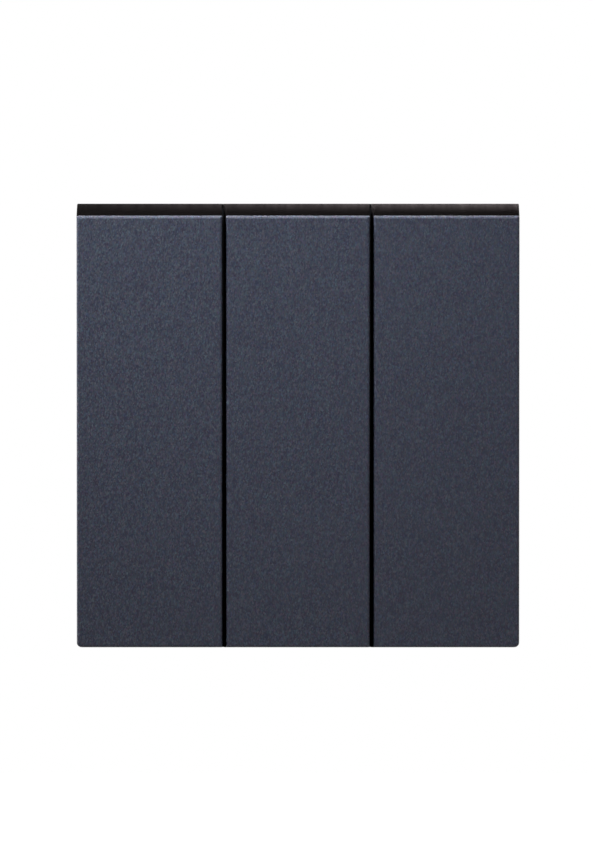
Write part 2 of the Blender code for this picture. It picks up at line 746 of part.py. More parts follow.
def release_button(name, side, x):
    """The button that lifts the sprung leg off its conductor, with a collar inside the wall."""
    half = RELEASE_WIDTH / 2
    bm = bmesh.new()
    add_prism(bm, release_outline(side), x - half, x + half)
    button = make_piece(name, bm, "orange_plastic", smooth=False)
    collar = bmesh.new()
    wide = half + RELEASE_COLLAR
    top = REAR_INSIDE - SEAT_GAP
    ends = [
        side * (WIRE_LEVEL - RELEASE_RISE + way * RELEASE_HEIGHT / 2 * 0.9)
        for way in (-1, 1)
    ]
    add_box(
        collar,
        (x - wide, top - RELEASE_COLLAR_LENGTH, min(ends)),
        (x + wide, top, max(ends)),
    )
    combine(button, "collar", collar, "UNION")


# --- Frame --------------------------------------------------------------------------------------


def lug_outline():
    """A bearing lug in (y, z): straight flanks up from the flange and a round head."""
    root = FLANGE_FRONT + FLANGE_THICKNESS / 2
    points = [(root, -LUG_RADIUS)]
    steps = ROUND_SIDES // 2
    for step in range(steps + 1):
        turn = -math.pi / 2 - math.pi * step / steps
        points.append(
            (PIVOT_Y + LUG_RADIUS * math.cos(turn), LUG_RADIUS * math.sin(turn))
        )
    points.append((root, LUG_RADIUS))
    return points


def snap_outline(side):
    """A snap leg in (y, z) that reaches into the housing and hooks in its wall's window."""
    outer = INSIDE_Z - SEAT_GAP
    inner = outer - SNAP_THICKNESS
    hook = SNAP_REACH - SNAP_BARB_LENGTH
    root = FLANGE_BACK - FLANGE_THICKNESS / 2
    points = (
        (root, inner),
        (SNAP_REACH, inner),
        (SNAP_REACH, outer),
        (hook + SNAP_BARB_LENGTH / 4, outer + SNAP_BARB),
        (hook, outer + SNAP_BARB),
        (hook, outer),
        (root, outer),
    )
    return [(y, side * z) for y, z in points]


def module_frame(gang_places):
    """The flange behind the caps, with bearing lugs, rest pads and snap legs."""
    bm = bmesh.new()
    add_box(bm, (-FLANGE_X, FLANGE_FRONT, -FLANGE_Z), (FLANGE_X, FLANGE_BACK, FLANGE_Z))
    frame = make_piece("module_frame", bm, "black_plastic")

    additions = bmesh.new()
    for x in gang_places.values():
        for low in (x + LUG_INNER, x - LUG_OUTER):
            add_prism(additions, lug_outline(), low, low + LUG_THICKNESS)
    for x in (-OUTER_GANG_X, OUTER_GANG_X):
        for side in (1, -1):
            add_prism(
                additions, snap_outline(side), x - SNAP_WIDTH / 2, x + SNAP_WIDTH / 2
            )
            ends = sorted(
                (side * (HOUSING_Z + SEAT_GAP), side * (FLANGE_Z - PAD_EDGE))
            )
            add_box(
                additions,
                (x - PAD_LENGTH / 2, FLANGE_BACK - PAD_HEIGHT, ends[0]),
                (x + PAD_LENGTH / 2, 0.0, ends[1]),
            )
    combine(frame, "lugs_pads_and_snaps", additions, "UNION")

    bearings = bmesh.new()
    windows = bmesh.new()
    window_x = TUBE_RADIUS + SEAT_GAP
    window_z = (
        TUBE_RADIUS * math.cos(ROCKER_TILT)
        + TUBE_REACH * math.sin(ROCKER_TILT)
        + SEAT_GAP
    )
    for x in gang_places.values():
        add_cross_cylinder(
            bearings,
            x - LUG_OUTER - OVERCUT / 2,
            x + LUG_OUTER + OVERCUT / 2,
            PIVOT_Y,
            0.0,
            BEARING_RADIUS,
            ROUND_SIDES,
        )
        add_box(
            windows,
            (x - window_x, FLANGE_FRONT - OVERCUT, -window_z),
            (x + window_x, FLANGE_BACK + OVERCUT, window_z),
        )
    combine(frame, "bearings", bearings, "DIFFERENCE")
    combine(frame, "windows", windows, "DIFFERENCE")


# --- Housing ------------------------------------------------------------------------------------


def add_chambers(bm):
    """The three chambers, open to the front."""
    wall = ROCKER_PITCH / 2
    spans = (
        (-INSIDE_X, -wall - PARTITION / 2),
        (-wall + PARTITION / 2, wall - PARTITION / 2),
        (wall + PARTITION / 2, INSIDE_X),
    )
    for low, high in spans:
        add_box(bm, (low, -OVERCUT, -INSIDE_Z), (high, REAR_INSIDE, INSIDE_Z))


def shelf_spans():
    """The shelves behind the conductors: the z range and x range of each."""
    inner = SHELF_OUTER - PARTITION
    wall = ROCKER_PITCH / 2
    return (
        ((-PARTITION / 2, PARTITION / 2), (-INSIDE_X, INSIDE_X)),
        ((-SHELF_OUTER, -inner), (-INSIDE_X, INSIDE_X)),
        ((inner, SHELF_OUTER), (-INSIDE_X, -wall)),
        ((inner, SHELF_OUTER), (wall, INSIDE_X)),
    )


def latch_outline(side):
    """The wedge of a mounting latch, in (y, z), with its catch face behind the support sheet."""
    catch = SUPPORT_PLATE + SEAT_GAP
    root = HOUSING_Z - HOUSING_WALL / 2
    points = (
        (catch, root),
        (catch, HOUSING_Z + LATCH_REACH),
        (catch + LATCH_WEDGE_LENGTH / 4, HOUSING_Z + LATCH_REACH),
        (catch + LATCH_WEDGE_LENGTH, HOUSING_Z),
        (catch + LATCH_WEDGE_LENGTH, root),
    )
    return [(y, side * z) for y, z in points]


def add_latch_slots(bm, side):
    """The two slots and the front gap that free a latch tongue from the housing's wall."""
    low, high = sorted((side * (INSIDE_Z - OVERCUT), side * (HOUSING_Z + OVERCUT)))
    half = LATCH_WIDTH / 2
    for x in (half, -half - LATCH_SLOT):
        add_box(bm, (x, -OVERCUT, low), (x + LATCH_SLOT, LATCH_LENGTH, high))


def add_terminal_holes(bm, side, x):
    """A conductor's funnel hole and a release button's slot in the rear wall."""
    level = side * WIRE_LEVEL
    profile = (
        (REAR_INSIDE - OVERCUT, WIRE_HOLE_RADIUS),
        (REAR_INSIDE + HOUSING_WALL / 2, WIRE_HOLE_RADIUS),
        (REAR_OUTSIDE, WIRE_MOUTH_RADIUS),
        (REAR_OUTSIDE + OVERCUT, WIRE_MOUTH_RADIUS),
    )
    add_turned(bm, profile, x, level, ROUND_SIDES)
    half = RELEASE_HEIGHT / 2 + SEAT_GAP / 2
    middle = side * (WIRE_LEVEL - RELEASE_RISE)
    add_box(
        bm,
        (x - RELEASE_HOLE_HALF, REAR_INSIDE - OVERCUT, middle - half),
        (x + RELEASE_HOLE_HALF, REAR_OUTSIDE + OVERCUT, middle + half),
    )


def base_housing(gang_places):
    """The moulded box behind the flange, with chambers, shelves, latches and rear openings."""
    bm = bmesh.new()
    add_box(bm, (-HOUSING_X, 0.0, -HOUSING_Z), (HOUSING_X, REAR_OUTSIDE, HOUSING_Z))
    housing = make_piece("base_housing", bm, "grey_plastic")
    chambers = bmesh.new()
    add_chambers(chambers)
    combine(housing, "chambers", chambers, "DIFFERENCE")

    shelves = bmesh.new()
    front = STRIP_BACK + RIVET_TAIL + SEAT_GAP
    root = HOUSING_WALL / 3
    for (z_low, z_high), (x_low, x_high) in shelf_spans():
        add_box(
            shelves,
            (x_low - root, front, z_low),
            (x_high + root, REAR_INSIDE + root, z_high),
        )
    combine(housing, "shelves", shelves, "UNION")

    passage = bmesh.new()
    half = BUS_HALF + SEAT_GAP
    for x in (-ROCKER_PITCH / 2, ROCKER_PITCH / 2):
        add_box(
            passage,
            (x - PARTITION / 2 - SEAT_GAP, -OVERCUT, -half),
            (x + PARTITION / 2 + SEAT_GAP, STRIP_BACK + SEAT_GAP, half),
        )
    combine(housing, "bus_passage", passage, "DIFFERENCE")

    wedges = bmesh.new()
    for side in (1, -1):
        add_prism(wedges, latch_outline(side), -LATCH_WIDTH / 2, LATCH_WIDTH / 2)
    combine(housing, "latch_wedges", wedges, "UNION")

    openings = bmesh.new()
    for side in (1, -1):
        add_latch_slots(openings, side)
        low, high = sorted((side * (INSIDE_Z - OVERCUT), side * (HOUSING_Z + OVERCUT)))
        for x in (-OUTER_GANG_X, OUTER_GANG_X):
            add_box(
                openings,
                (
                    x - SNAP_WIDTH / 2 - SEAT_GAP,
                    SNAP_REACH - SNAP_BARB_LENGTH - SEAT_GAP,
                    low,
                ),
                (x + SNAP_WIDTH / 2 + SEAT_GAP, SNAP_REACH + SEAT_GAP, high),
            )
    for gang, x in gang_places.items():
        add_terminal_holes(openings, -1, x)
        if gang in LINE_GANGS:
            add_terminal_holes(openings, 1, x)
    combine(housing, "openings", openings, "DIFFERENCE")


# --- Assembly -----------------------------------------------------------------------------------


def clear_scene():
    """Removes what the opened file holds."""
    for item in list(bpy.data.objects):
        bpy.data.objects.remove(item, do_unlink=True)


def build_module():
    """Builds every piece in its place."""
    clear_scene()
    gang_places = {gang: (low + high) / 2 for gang, (low, high) in GANGS.items()}
    module_frame(gang_places)
    base_housing(gang_places)
    line_busbar(gang_places)
    for gang, x in gang_places.items():
        rocker_pivot = make_pivot(f"rocker_pivot_{gang}", (x, PIVOT_Y, 0.0), ROCKER_TILT)
        rocker_cap(gang, rocker_pivot)
        rocker_cradle(gang, rocker_pivot)
        plunger(gang, rocker_pivot)
        plunger_spring(gang, rocker_pivot)
        seesaw_pivot = make_pivot(f"seesaw_pivot_{gang}", (x, SEESAW_Y, 0.0), -CONTACT_TILT)
        contact_rocker(gang, seesaw_pivot)
        output_terminal(gang, x)
        clamp_spring(f"output_clamp_{gang}", -1, x)
        release_button(f"output_release_{gang}", -1, x)
    for gang in LINE_GANGS:
        clamp_spring(f"line_clamp_{gang}", 1, gang_places[gang])
        release_button(f"line_release_{gang}", 1, gang_places[gang])


build_module()
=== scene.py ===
"""Dressed scene of a three-gang rocker switch module: its finishes, finer pieces, light and camera.

Lengths are in metres and angles in radians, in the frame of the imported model: +X to the right,
+Y into the wall, +Z up.
"""

import json
import logging
import math
from dataclasses import dataclass
from enum import Enum

import bmesh
import bpy
from mathutils import Matrix, Vector


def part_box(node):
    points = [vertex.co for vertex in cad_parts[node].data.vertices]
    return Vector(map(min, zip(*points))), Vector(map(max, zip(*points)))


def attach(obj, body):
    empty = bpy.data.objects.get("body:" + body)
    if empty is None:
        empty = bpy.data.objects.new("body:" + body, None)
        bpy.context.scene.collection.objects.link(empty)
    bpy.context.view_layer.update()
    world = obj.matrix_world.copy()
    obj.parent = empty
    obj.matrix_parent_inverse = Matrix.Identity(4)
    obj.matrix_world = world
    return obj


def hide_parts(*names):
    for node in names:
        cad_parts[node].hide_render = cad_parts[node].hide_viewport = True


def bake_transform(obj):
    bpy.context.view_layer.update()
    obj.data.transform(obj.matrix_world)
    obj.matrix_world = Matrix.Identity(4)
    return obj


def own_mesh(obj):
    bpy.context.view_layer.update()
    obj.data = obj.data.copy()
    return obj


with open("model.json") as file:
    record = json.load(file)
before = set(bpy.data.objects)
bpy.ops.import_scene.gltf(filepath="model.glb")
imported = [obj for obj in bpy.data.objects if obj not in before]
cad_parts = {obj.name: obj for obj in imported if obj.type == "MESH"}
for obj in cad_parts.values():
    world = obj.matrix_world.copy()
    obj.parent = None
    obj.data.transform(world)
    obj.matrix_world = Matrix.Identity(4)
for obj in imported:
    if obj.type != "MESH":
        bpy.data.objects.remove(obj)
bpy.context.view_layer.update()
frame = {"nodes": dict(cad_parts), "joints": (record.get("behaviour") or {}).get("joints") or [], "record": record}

MM = 0.001
LOG = logging.getLogger("switch_module")

WELD = 0.0001 * MM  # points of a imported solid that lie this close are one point
CUT_WELD = 0.001 * MM  # the same after a cut
NEAR = 0.01 * MM  # a point this close to a plane lies in it
CLEAR = 1.0 * MM  # how far a cutting block stands out of the wall that it cuts
FLAT_ANGLE = math.radians(0.5)  # faces that turn less than this make one flat face
ROUNDED_ANGLE = math.radians(32.0)  # outer edges that turn more than this are rounded
SHARP_ANGLE = math.radians(35.0)  # faces that turn more than this are shaded apart
REST_TILT = math.radians(5.0)  # how far each rocker's top end stands proud at rest

Pair = tuple[float, float]
Point = tuple[float, float, float]
Colour = tuple[float, float, float, float]
Outline = list[Pair]
Tree = bpy.types.NodeTree
Shape = bmesh.types.BMesh
Thing = bpy.types.Object
Node = bpy.types.Node


class Gang(Enum):
    """The three rockers, by their place."""

    LEFT = "left"
    MIDDLE = "middle"
    RIGHT = "right"


# --- Nodes and colours ---


def linear(code: str) -> Colour:
    """Turns an sRGB hex colour into linear light.

    Args:
        code: six hex digits after a hash sign.

    Returns:
        Red, green, blue and an alpha of 1.
    """
    parts = [int(code[k : k + 2], 16) / 255 for k in (1, 3, 5)]
    light = [c / 12.92 if c <= 0.04045 else ((c + 0.055) / 1.055) ** 2.4 for c in parts]
    return (light[0], light[1], light[2], 1.0)


def link(tree: Tree, node: Node, links: dict) -> None:
    """Links what goes into a node.

    Args:
        tree: the node tree.
        node: the node.
        links: outputs, or nodes for their first output, by input name or number.
    """
    for name, source in links.items():
        output = source.outputs[0] if isinstance(source, Node) else source
        tree.links.new(output, node.inputs[name])


def span(start: Pair, end: Pair) -> dict:
    """Settings that turn a range of values into another, held at its ends."""
    return {"From Min": start[0], "From Max": start[1], "To Min": end[0], "To Max": end[1]}


def add_node(
    tree: Tree, kind: str, settings: dict | None = None, links: dict | None = None
) -> Node:
    """Adds a node with its settings and its incoming links.

    Args:
        tree: the node tree that takes the node.
        kind: the node's type, without its ShaderNode prefix.
        settings: values by property name, or by input name or number.
        links: what goes into the node, as link takes it.

    Returns:
        The new node.
    """
    node = tree.nodes.new("ShaderNode" + kind)
    for name, value in (settings or {}).items():
        if isinstance(name, str) and hasattr(node, name):
            setattr(node, name, value)
        else:
            node.inputs[name].default_value = value
    link(tree, node, links or {})
    return node


# --- Finishes ---


@dataclass(frozen=True)
class Finish:
    """What all finishes share: a name, a colour and the surface's values."""

    name: str
    colour: str
    roughness: float
    metallic: float = 0.0
    ior: float = 1.5
    specular: float = 0.5
    rough_spread: float = 0.08

    def material(self) -> bpy.types.Material:
        """Gives the finish's material, made at the first call.

        Returns:
            The material.
        """
        found = bpy.data.materials.get(self.name)
        if found:
            return found
        made = bpy.data.materials.new(self.name)
        made.use_nodes = True
        shader = made.node_tree.nodes["Principled BSDF"]
        shader.inputs["Base Color"].default_value = linear(self.colour)
        shader.inputs["Roughness"].default_value = self.roughness
        shader.inputs["Metallic"].default_value = self.metallic
        shader.inputs["IOR"].default_value = self.ior
        shader.inputs["Specular IOR Level"].default_value = self.specular
        made.diffuse_color = linear(self.colour)
        self.dress(made.node_tree, shader)
        return made

    def dress(self, tree: Tree, shader: Node) -> None:
        """Adds the finish's own nodes.

        Args:
            tree: the material's node tree.
            shader: its Principled shader.
        """
        raise NotImplementedError

    def rough_range(self) -> dict:
        """Settings that turn a pattern into roughness, a little less and more than the finish's own."""
        ends = (self.roughness - self.rough_spread, self.roughness + self.rough_spread)
        return span((0.0, 1.0), ends)


@dataclass(frozen=True)
class FlakeLacquer(Finish):
    """Metallic lacquer sprayed on moulded polycarbonate: fine flakes that sparkle unevenly.

    Real flakes are about 0.03 mm wide, too fine to show where a pixel is 0.1 mm, so they are drawn
    five times as coarse. The contrast, tint and cast say how far a flake's red, green and blue
    depart from the colour: the brightest flakes are few, as the rarity says.
    """

    flake: float = 0.15 * MM
    stretch: Point = (1.4, 1.0, 0.8)
    contrast: Point = (0.53, 0.49, 0.445)
    rarity: float = 2.2
    tint: Point = (0.173, -0.087, -0.104)
    cast: Point = (0.0, 0.1, -0.075)
    glitter: float = 0.22
    rough_spread: float = 0.06
    peel: float = 1.3 * MM
    peel_depth: float = 0.02 * MM
    peel_strength: float = 0.12

    def dress(self, tree: Tree, shader: Node) -> None:
        """Adds the flakes, their slight change of hue and the lacquer's orange peel.

        Args:
            tree: the material's node tree.
            shader: its Principled shader.
        """
        place = add_node(tree, "TexCoord").outputs["Object"]
        stretched = add_node(tree, "Mapping", {"Scale": self.stretch}, {"Vector": place})
        flakes = add_node(
            tree, "TexVoronoi", {"Scale": 1 / self.flake}, {"Vector": stretched}
        ).outputs["Color"]
        random = add_node(tree, "SeparateColor", {}, {"Color": flakes})
        few = add_node(tree, "Math", {"operation": "POWER", 1: self.rarity}, {0: random.outputs["Red"]})
        mean = 1 / (1 + self.rarity)
        paint = add_node(tree, "RGB")
        paint.outputs[0].default_value = linear(self.colour)
        colour = paint
        for share, reach, dark, bright in (
            (few, self.contrast, 2 * mean, 2 * (1 - mean)),
            (random.outputs["Green"], self.tint, 1.0, 1.0),
            (random.outputs["Blue"], self.cast, 1.0, 1.0),
        ):
            change = add_node(
                tree,
                "Mix",
                {
                    "data_type": "RGBA",
                    6: (*(1 - dark * part for part in reach), 1.0),
                    7: (*(1 + bright * part for part in reach), 1.0),
                },
                {0: share},
            ).outputs[2]
            colour = add_node(
                tree,
                "Mix",
                {"data_type": "RGBA", "blend_type": "MULTIPLY", 0: 1.0},
                {6: colour, 7: change},
            ).outputs[2]
        waves = add_node(tree, "TexNoise", {"Scale": 1 / self.peel, "Detail": 1.0}, {"Vector": place})
        bump = add_node(
            tree, "Bump", {"Strength": self.peel_strength, "Distance": self.peel_depth}, {"Height": waves}
        )
        lean = add_node(tree, "VectorMath", {"operation": "SUBTRACT", 1: (0.5, 0.5, 0.5)}, {0: flakes})
        small = add_node(tree, "VectorMath", {"operation": "SCALE", "Scale": self.glitter}, {0: lean})
        leaning = add_node(tree, "VectorMath", {"operation": "ADD"}, {0: bump, 1: small})
        normal = add_node(tree, "VectorMath", {"operation": "NORMALIZE"}, {0: leaning})
        rough = add_node(tree, "MapRange", self.rough_range(), {"Value": random.outputs["Blue"]})
        link(tree, shader, {"Base Color": colour, "Roughness": rough, "Normal": normal})


@dataclass(frozen=True)
class ErodedSkirt(Finish):
    """Bare moulded polycarbonate with a spark-eroded skin, with painted light that makes it paler towards its rear
    edge and towards the right.

    An eroded mould's pits are about 0.03 mm wide; they are drawn three times as coarse, so that they show. The
    painted light grows over millimetres behind the face, as the mesh's skirt_depth gives them, and from the left
    side to the right.
    """

    # Painted light: towards the rear edge and the right side the colour turns to this paler one, as if more light
    # fell there.
    lit_rear_colour: str = "#524d4e"
    painted_light_fade: Pair = (1.5, 7.2)
    painted_light_power: float = 2.0
    painted_light_across: Pair = (0.10, 0.82)
    half_width: float = 22.5 * MM
    drag: float = 0.5 * MM
    drag_stretch: Point = (1.0, 0.06, 0.06)
    grain: float = 0.09 * MM
    grain_depth: float = 0.015 * MM
    grain_strength: float = 0.5

    def dress(self, tree: Tree, shader: Node) -> None:
        """Adds painted light, paler towards the rear edge and towards the right and broken by faint drag marks,
        and the eroded grain.

        Args:
            tree: the material's node tree.
            shader: its Principled shader.
        """
        place = add_node(tree, "TexCoord").outputs["Object"]
        depth = add_node(tree, "Attribute", {"attribute_name": "skirt_depth"}).outputs["Fac"]
        # Painted light: paler with depth behind the face and from the left side to the right.
        painted_light_fade = add_node(tree, "MapRange", span(self.painted_light_fade, (0.0, 1.0)), {"Value": depth})
        late = add_node(tree, "Math", {"operation": "POWER", 1: self.painted_light_power}, {0: painted_light_fade})
        across = add_node(tree, "SeparateXYZ", {}, {"Vector": place}).outputs["X"]
        sides = (-self.half_width, self.half_width)
        painted_light_across = add_node(tree, "MapRange", span(sides, self.painted_light_across), {"Value": across})
        drawn = add_node(tree, "Mapping", {"Scale": self.drag_stretch}, {"Vector": place})
        drag = add_node(tree, "TexNoise", {"Scale": 1 / self.drag, "Detail": 2.0}, {"Vector": drawn})
        painted_light_share = add_node(tree, "Math", {"operation": "MULTIPLY"}, {0: late, 1: painted_light_across})
        shown = add_node(tree, "Math", {"operation": "MULTIPLY"}, {0: painted_light_share, 1: drag})
        colour = add_node(
            tree,
            "Mix",
            {"data_type": "RGBA", 6: linear(self.colour), 7: linear(self.lit_rear_colour)},
            {0: shown},
        ).outputs[2]
        pits = add_node(tree, "TexNoise", {"Scale": 1 / self.grain, "Detail": 2.0}, {"Vector": place})
        bump = add_node(
            tree,
            "Bump",
            {"Strength": self.grain_strength, "Distance": self.grain_depth},
            {"Height": pits},
        )
        link(tree, shader, {"Base Color": colour, "Normal": bump})


@dataclass(frozen=True)
class MouldedPlastic(Finish):
    """Injection-moulded plastic: a fine matt grain, edges rounded by the tool, faint flow marks.

    A mould's fine texture is about 0.04 mm wide; it is drawn three times as coarse, so that it
    shows.
    """

    flow: float = 0.06
    flow_width: float = 6.0 * MM
    grain: float = 0.12 * MM
    grain_depth: float = 0.012 * MM
    grain_strength: float = 0.6
    edge: float = 0.12 * MM
    edge_samples: int = 4

    def dress(self, tree: Tree, shader: Node) -> None:
        """Adds the flow marks, the grain and the rounded edges.

        Args:
            tree: the material's node tree.
            shader: its Principled shader.
        """
        place = add_node(tree, "TexCoord").outputs["Object"]
        cloud = add_node(tree, "TexNoise", {"Scale": 1 / self.flow_width, "Detail": 3.0}, {"Vector": place})
        shade = add_node(
            tree, "MapRange", {"To Min": 1 - self.flow, "To Max": 1 + self.flow}, {"Value": cloud}
        )
        colour = add_node(
            tree, "VectorMath", {"operation": "SCALE", 0: linear(self.colour)[:3]}, {"Scale": shade}
        )
        grain = add_node(tree, "TexNoise", {"Scale": 1 / self.grain, "Detail": 2.0}, {"Vector": place})
        soft_edge = add_node(tree, "Bevel", {"samples": self.edge_samples, "Radius": self.edge})
        bump = add_node(
            tree,
            "Bump",
            {"Strength": self.grain_strength, "Distance": self.grain_depth},
            {"Height": grain, "Normal": soft_edge},
        )
        rough = add_node(tree, "MapRange", self.rough_range(), {"Value": grain})
        link(tree, shader, {"Base Color": colour, "Roughness": rough, "Normal": bump})


@dataclass(frozen=True)
class WorkedMetal(Finish):
    """Rolled, drawn or headed metal: fine lines along the grain and a breath of tarnish.

    The lines of a roll or a die are about 0.02 mm apart; they are drawn four times as coarse, so
    that they show.
    """

    tarnish: str = "#6b4a38"
    tarnish_width: float = 3.0 * MM
    tarnish_range: Pair = (0.45, 0.75)
    tarnish_share: float = 0.35
    line: float = 0.08 * MM
    line_depth: float = 0.004 * MM
    line_strength: float = 0.3
    along: Point = (1.0, 0.04, 0.04)

    def dress(self, tree: Tree, shader: Node) -> None:
        """Adds the tarnish, and the lines as roughness and bump.

        Args:
            tree: the material's node tree.
            shader: its Principled shader.
        """
        place = add_node(tree, "TexCoord").outputs["Object"]
        cloud = add_node(
            tree, "TexNoise", {"Scale": 1 / self.tarnish_width, "Detail": 4.0}, {"Vector": place}
        )
        share = span(self.tarnish_range, (0.0, self.tarnish_share))
        spread = add_node(tree, "MapRange", share, {"Value": cloud})
        colour = add_node(
            tree,
            "Mix",
            {"data_type": "RGBA", 6: linear(self.colour), 7: linear(self.tarnish)},
            {0: spread},
        ).outputs[2]
        drawn = add_node(tree, "Mapping", {"Scale": self.along}, {"Vector": place})
        lines = add_node(tree, "TexNoise", {"Scale": 1 / self.line, "Detail": 2.0}, {"Vector": drawn})
        bump = add_node(
            tree, "Bump", {"Strength": self.line_strength, "Distance": self.line_depth}, {"Height": lines}
        )
        rough = add_node(tree, "MapRange", self.rough_range(), {"Value": lines})
        link(tree, shader, {"Base Color": colour, "Roughness": rough, "Normal": bump})


# Polycarbonate sprayed with metallic lacquer: satin blue-grey, alive with fine sparks.
LACQUER = FlakeLacquer("anthracite_flake_lacquer", "#3b3e4b", 0.45, specular=0.22)
# Polycarbonate from a spark-eroded mould, left bare: dead matt black, with painted light that turns it paler and
# brownish towards its rear edge and the right.
SKIRT = ErodedSkirt("spark_eroded_black_polycarbonate", "#080707", 0.9, specular=0.0)
# Moulded black polyamide: dull, so that the slots over it stay dark.
FRAME_PLASTIC = MouldedPlastic("moulded_black_polyamide", "#151516", 0.55, specular=0.05)
# Moulded grey polyamide: a soft pale shell with faint clouds where the melt has flowed.
HOUSING_PLASTIC = MouldedPlastic("moulded_grey_polyamide", "#9b9d9f", 0.5)
# Moulded white acetal: a waxy white with a gentle gleam.
ACETAL = MouldedPlastic("moulded_white_acetal", "#e2e2de", 0.36, ior=1.48)
# Moulded orange polycarbonate: a bright colour with a small highlight on each edge.
BUTTON_PLASTIC = MouldedPlastic("moulded_orange_polycarbonate", "#db7f2e", 0.42, ior=1.58)
# Rolled copper strip: a salmon-red gleam drawn out along the strip, browner where it tarnishes.
COPPER = WorkedMetal("rolled_copper_strip", "#dca284", 0.3, 1.0)
# Cold-headed contact silver: a pale soft mirror with a yellowish breath.
SILVER = WorkedMetal("headed_contact_silver", "#e6e5e0", 0.26, 1.0, tarnish="#a39a88")
# Drawn spring steel: a grey mirror with fine lines from the die.
SPRING_STEEL = WorkedMetal("drawn_spring_steel", "#bfc1c4", 0.28, 1.0, tarnish="#8c8a86")

SLOT_FINISHES = {
    "anthracite_lacquer": LACQUER,
    "black_plastic": FRAME_PLASTIC,
    "grey_plastic": HOUSING_PLASTIC,
    "white_acetal": ACETAL,
    "orange_plastic": BUTTON_PLASTIC,
    "copper": COPPER,
    "silver": SILVER,
    "spring_steel": SPRING_STEEL,
}


def slot_of(node: str) -> str:
    """The material slot that the record gives to a node."""
    rows = frame["record"]["subparts"]
    return next(row["material_slot"] for row in rows if row["node"] == node)


# --- Shared shapes ---


def rocker_axes(gang: Gang) -> Matrix:
    """Finds the axes of a rocker as it rests, which start at its pivot.

    Args:
        gang: the rocker.

    Returns:
        The matrix that takes a place in the rocker's axes to its place in the model.
    """
    name = f"{gang.value}_rocker_tilt"
    joint = next(row for row in frame["joints"] if row["name"] == name)
    return Matrix.Translation(Vector(joint["pos_m"])) @ Matrix.Rotation(REST_TILT, 4, "X")


def rounded(low: Pair, high: Pair, radii: list[float], steps: int = 4) -> Outline:
    """Draws a rectangle with round corners.

    Args:
        low: the lowest corner.
        high: the highest corner.
        radii: the corner radii at the lower left, lower right, upper right and upper left.
        steps: the number of straight sides in each corner.

    Returns:
        The outline's points, anticlockwise.
    """
    corners = (
        (low[0], low[1], 1, 1),
        (high[0], low[1], -1, 1),
        (high[0], high[1], -1, -1),
        (low[0], high[1], 1, -1),
    )
    points = []
    for number, (radius, (a, b, to_a, to_b)) in enumerate(zip(radii, corners)):
        for step in range(steps + 1):
            turn = math.pi + (number + step / steps) * math.pi / 2
            points.append(
                (a + to_a * radius + radius * math.cos(turn), b + to_b * radius + radius * math.sin(turn))
            )
    return points


def disc(a: float, b: float, radius: float, sides: int = 32) -> Outline:
    """Draws a circle as an outline of straight sides."""
    turns = [2 * math.pi * (k + 0.5) / sides for k in range(sides)]
    return [(a + radius * math.cos(t), b + radius * math.sin(t)) for t in turns]


def add_block(bm: Shape, outline: Outline, axis: int, low: float, high: float, skin: int = 0) -> None:
    """Adds a closed block with a flat outline, drawn out along one axis.

    Args:
        bm: the mesh that takes the block.
        outline: the points on the other two axes, in their order.
        axis: the number of the axis along which the block runs.
        low: the block's start on that axis.
        high: its end.
        skin: the number of its material.
    """
    rows = []
    for level in (low, high):
        places = [list(point) for point in outline]
        for place in places:
            place.insert(axis, level)
        rows.append([bm.verts.new(place) for place in places])
    made = [bm.faces.new(row) for row in rows]
    for k in range(len(outline)):
        made.append(bm.faces.new((rows[0][k - 1], rows[0][k], rows[1][k], rows[1][k - 1])))
    for face in made:
        face.material_index = skin
    bmesh.ops.recalc_face_normals(bm, faces=made)


def publish(name: str, bm: Shape, finishes: list[Finish]) -> Thing:
    """Makes an object of a mesh that is drawn in the frame of the model.

    Args:
        name: the object's name.
        bm: the mesh, which is used up.
        finishes: the finish of each material number of the mesh.

    Returns:
        The object, shaded smooth over its small angles.
    """
    bmesh.ops.recalc_face_normals(bm, faces=bm.faces[:])
    mesh = bpy.data.meshes.new(name)
    bm.to_mesh(mesh)
    bm.free()
    for finish in finishes:
        mesh.materials.append(finish.material())
    mesh.shade_smooth()
    mesh.set_sharp_from_angle(angle=SHARP_ANGLE)
    made = bpy.data.objects.new(name, mesh)
    bpy.context.scene.collection.objects.link(made)
    return made


def keep_flats(made: Thing) -> None:
    """Keeps large flat faces flat to the eye beside their rounded edges."""
    normals = made.modifiers.new("flat_faces_stay_flat", "WEIGHTED_NORMAL")
    normals.keep_sharp = True


# --- Rocker caps ---


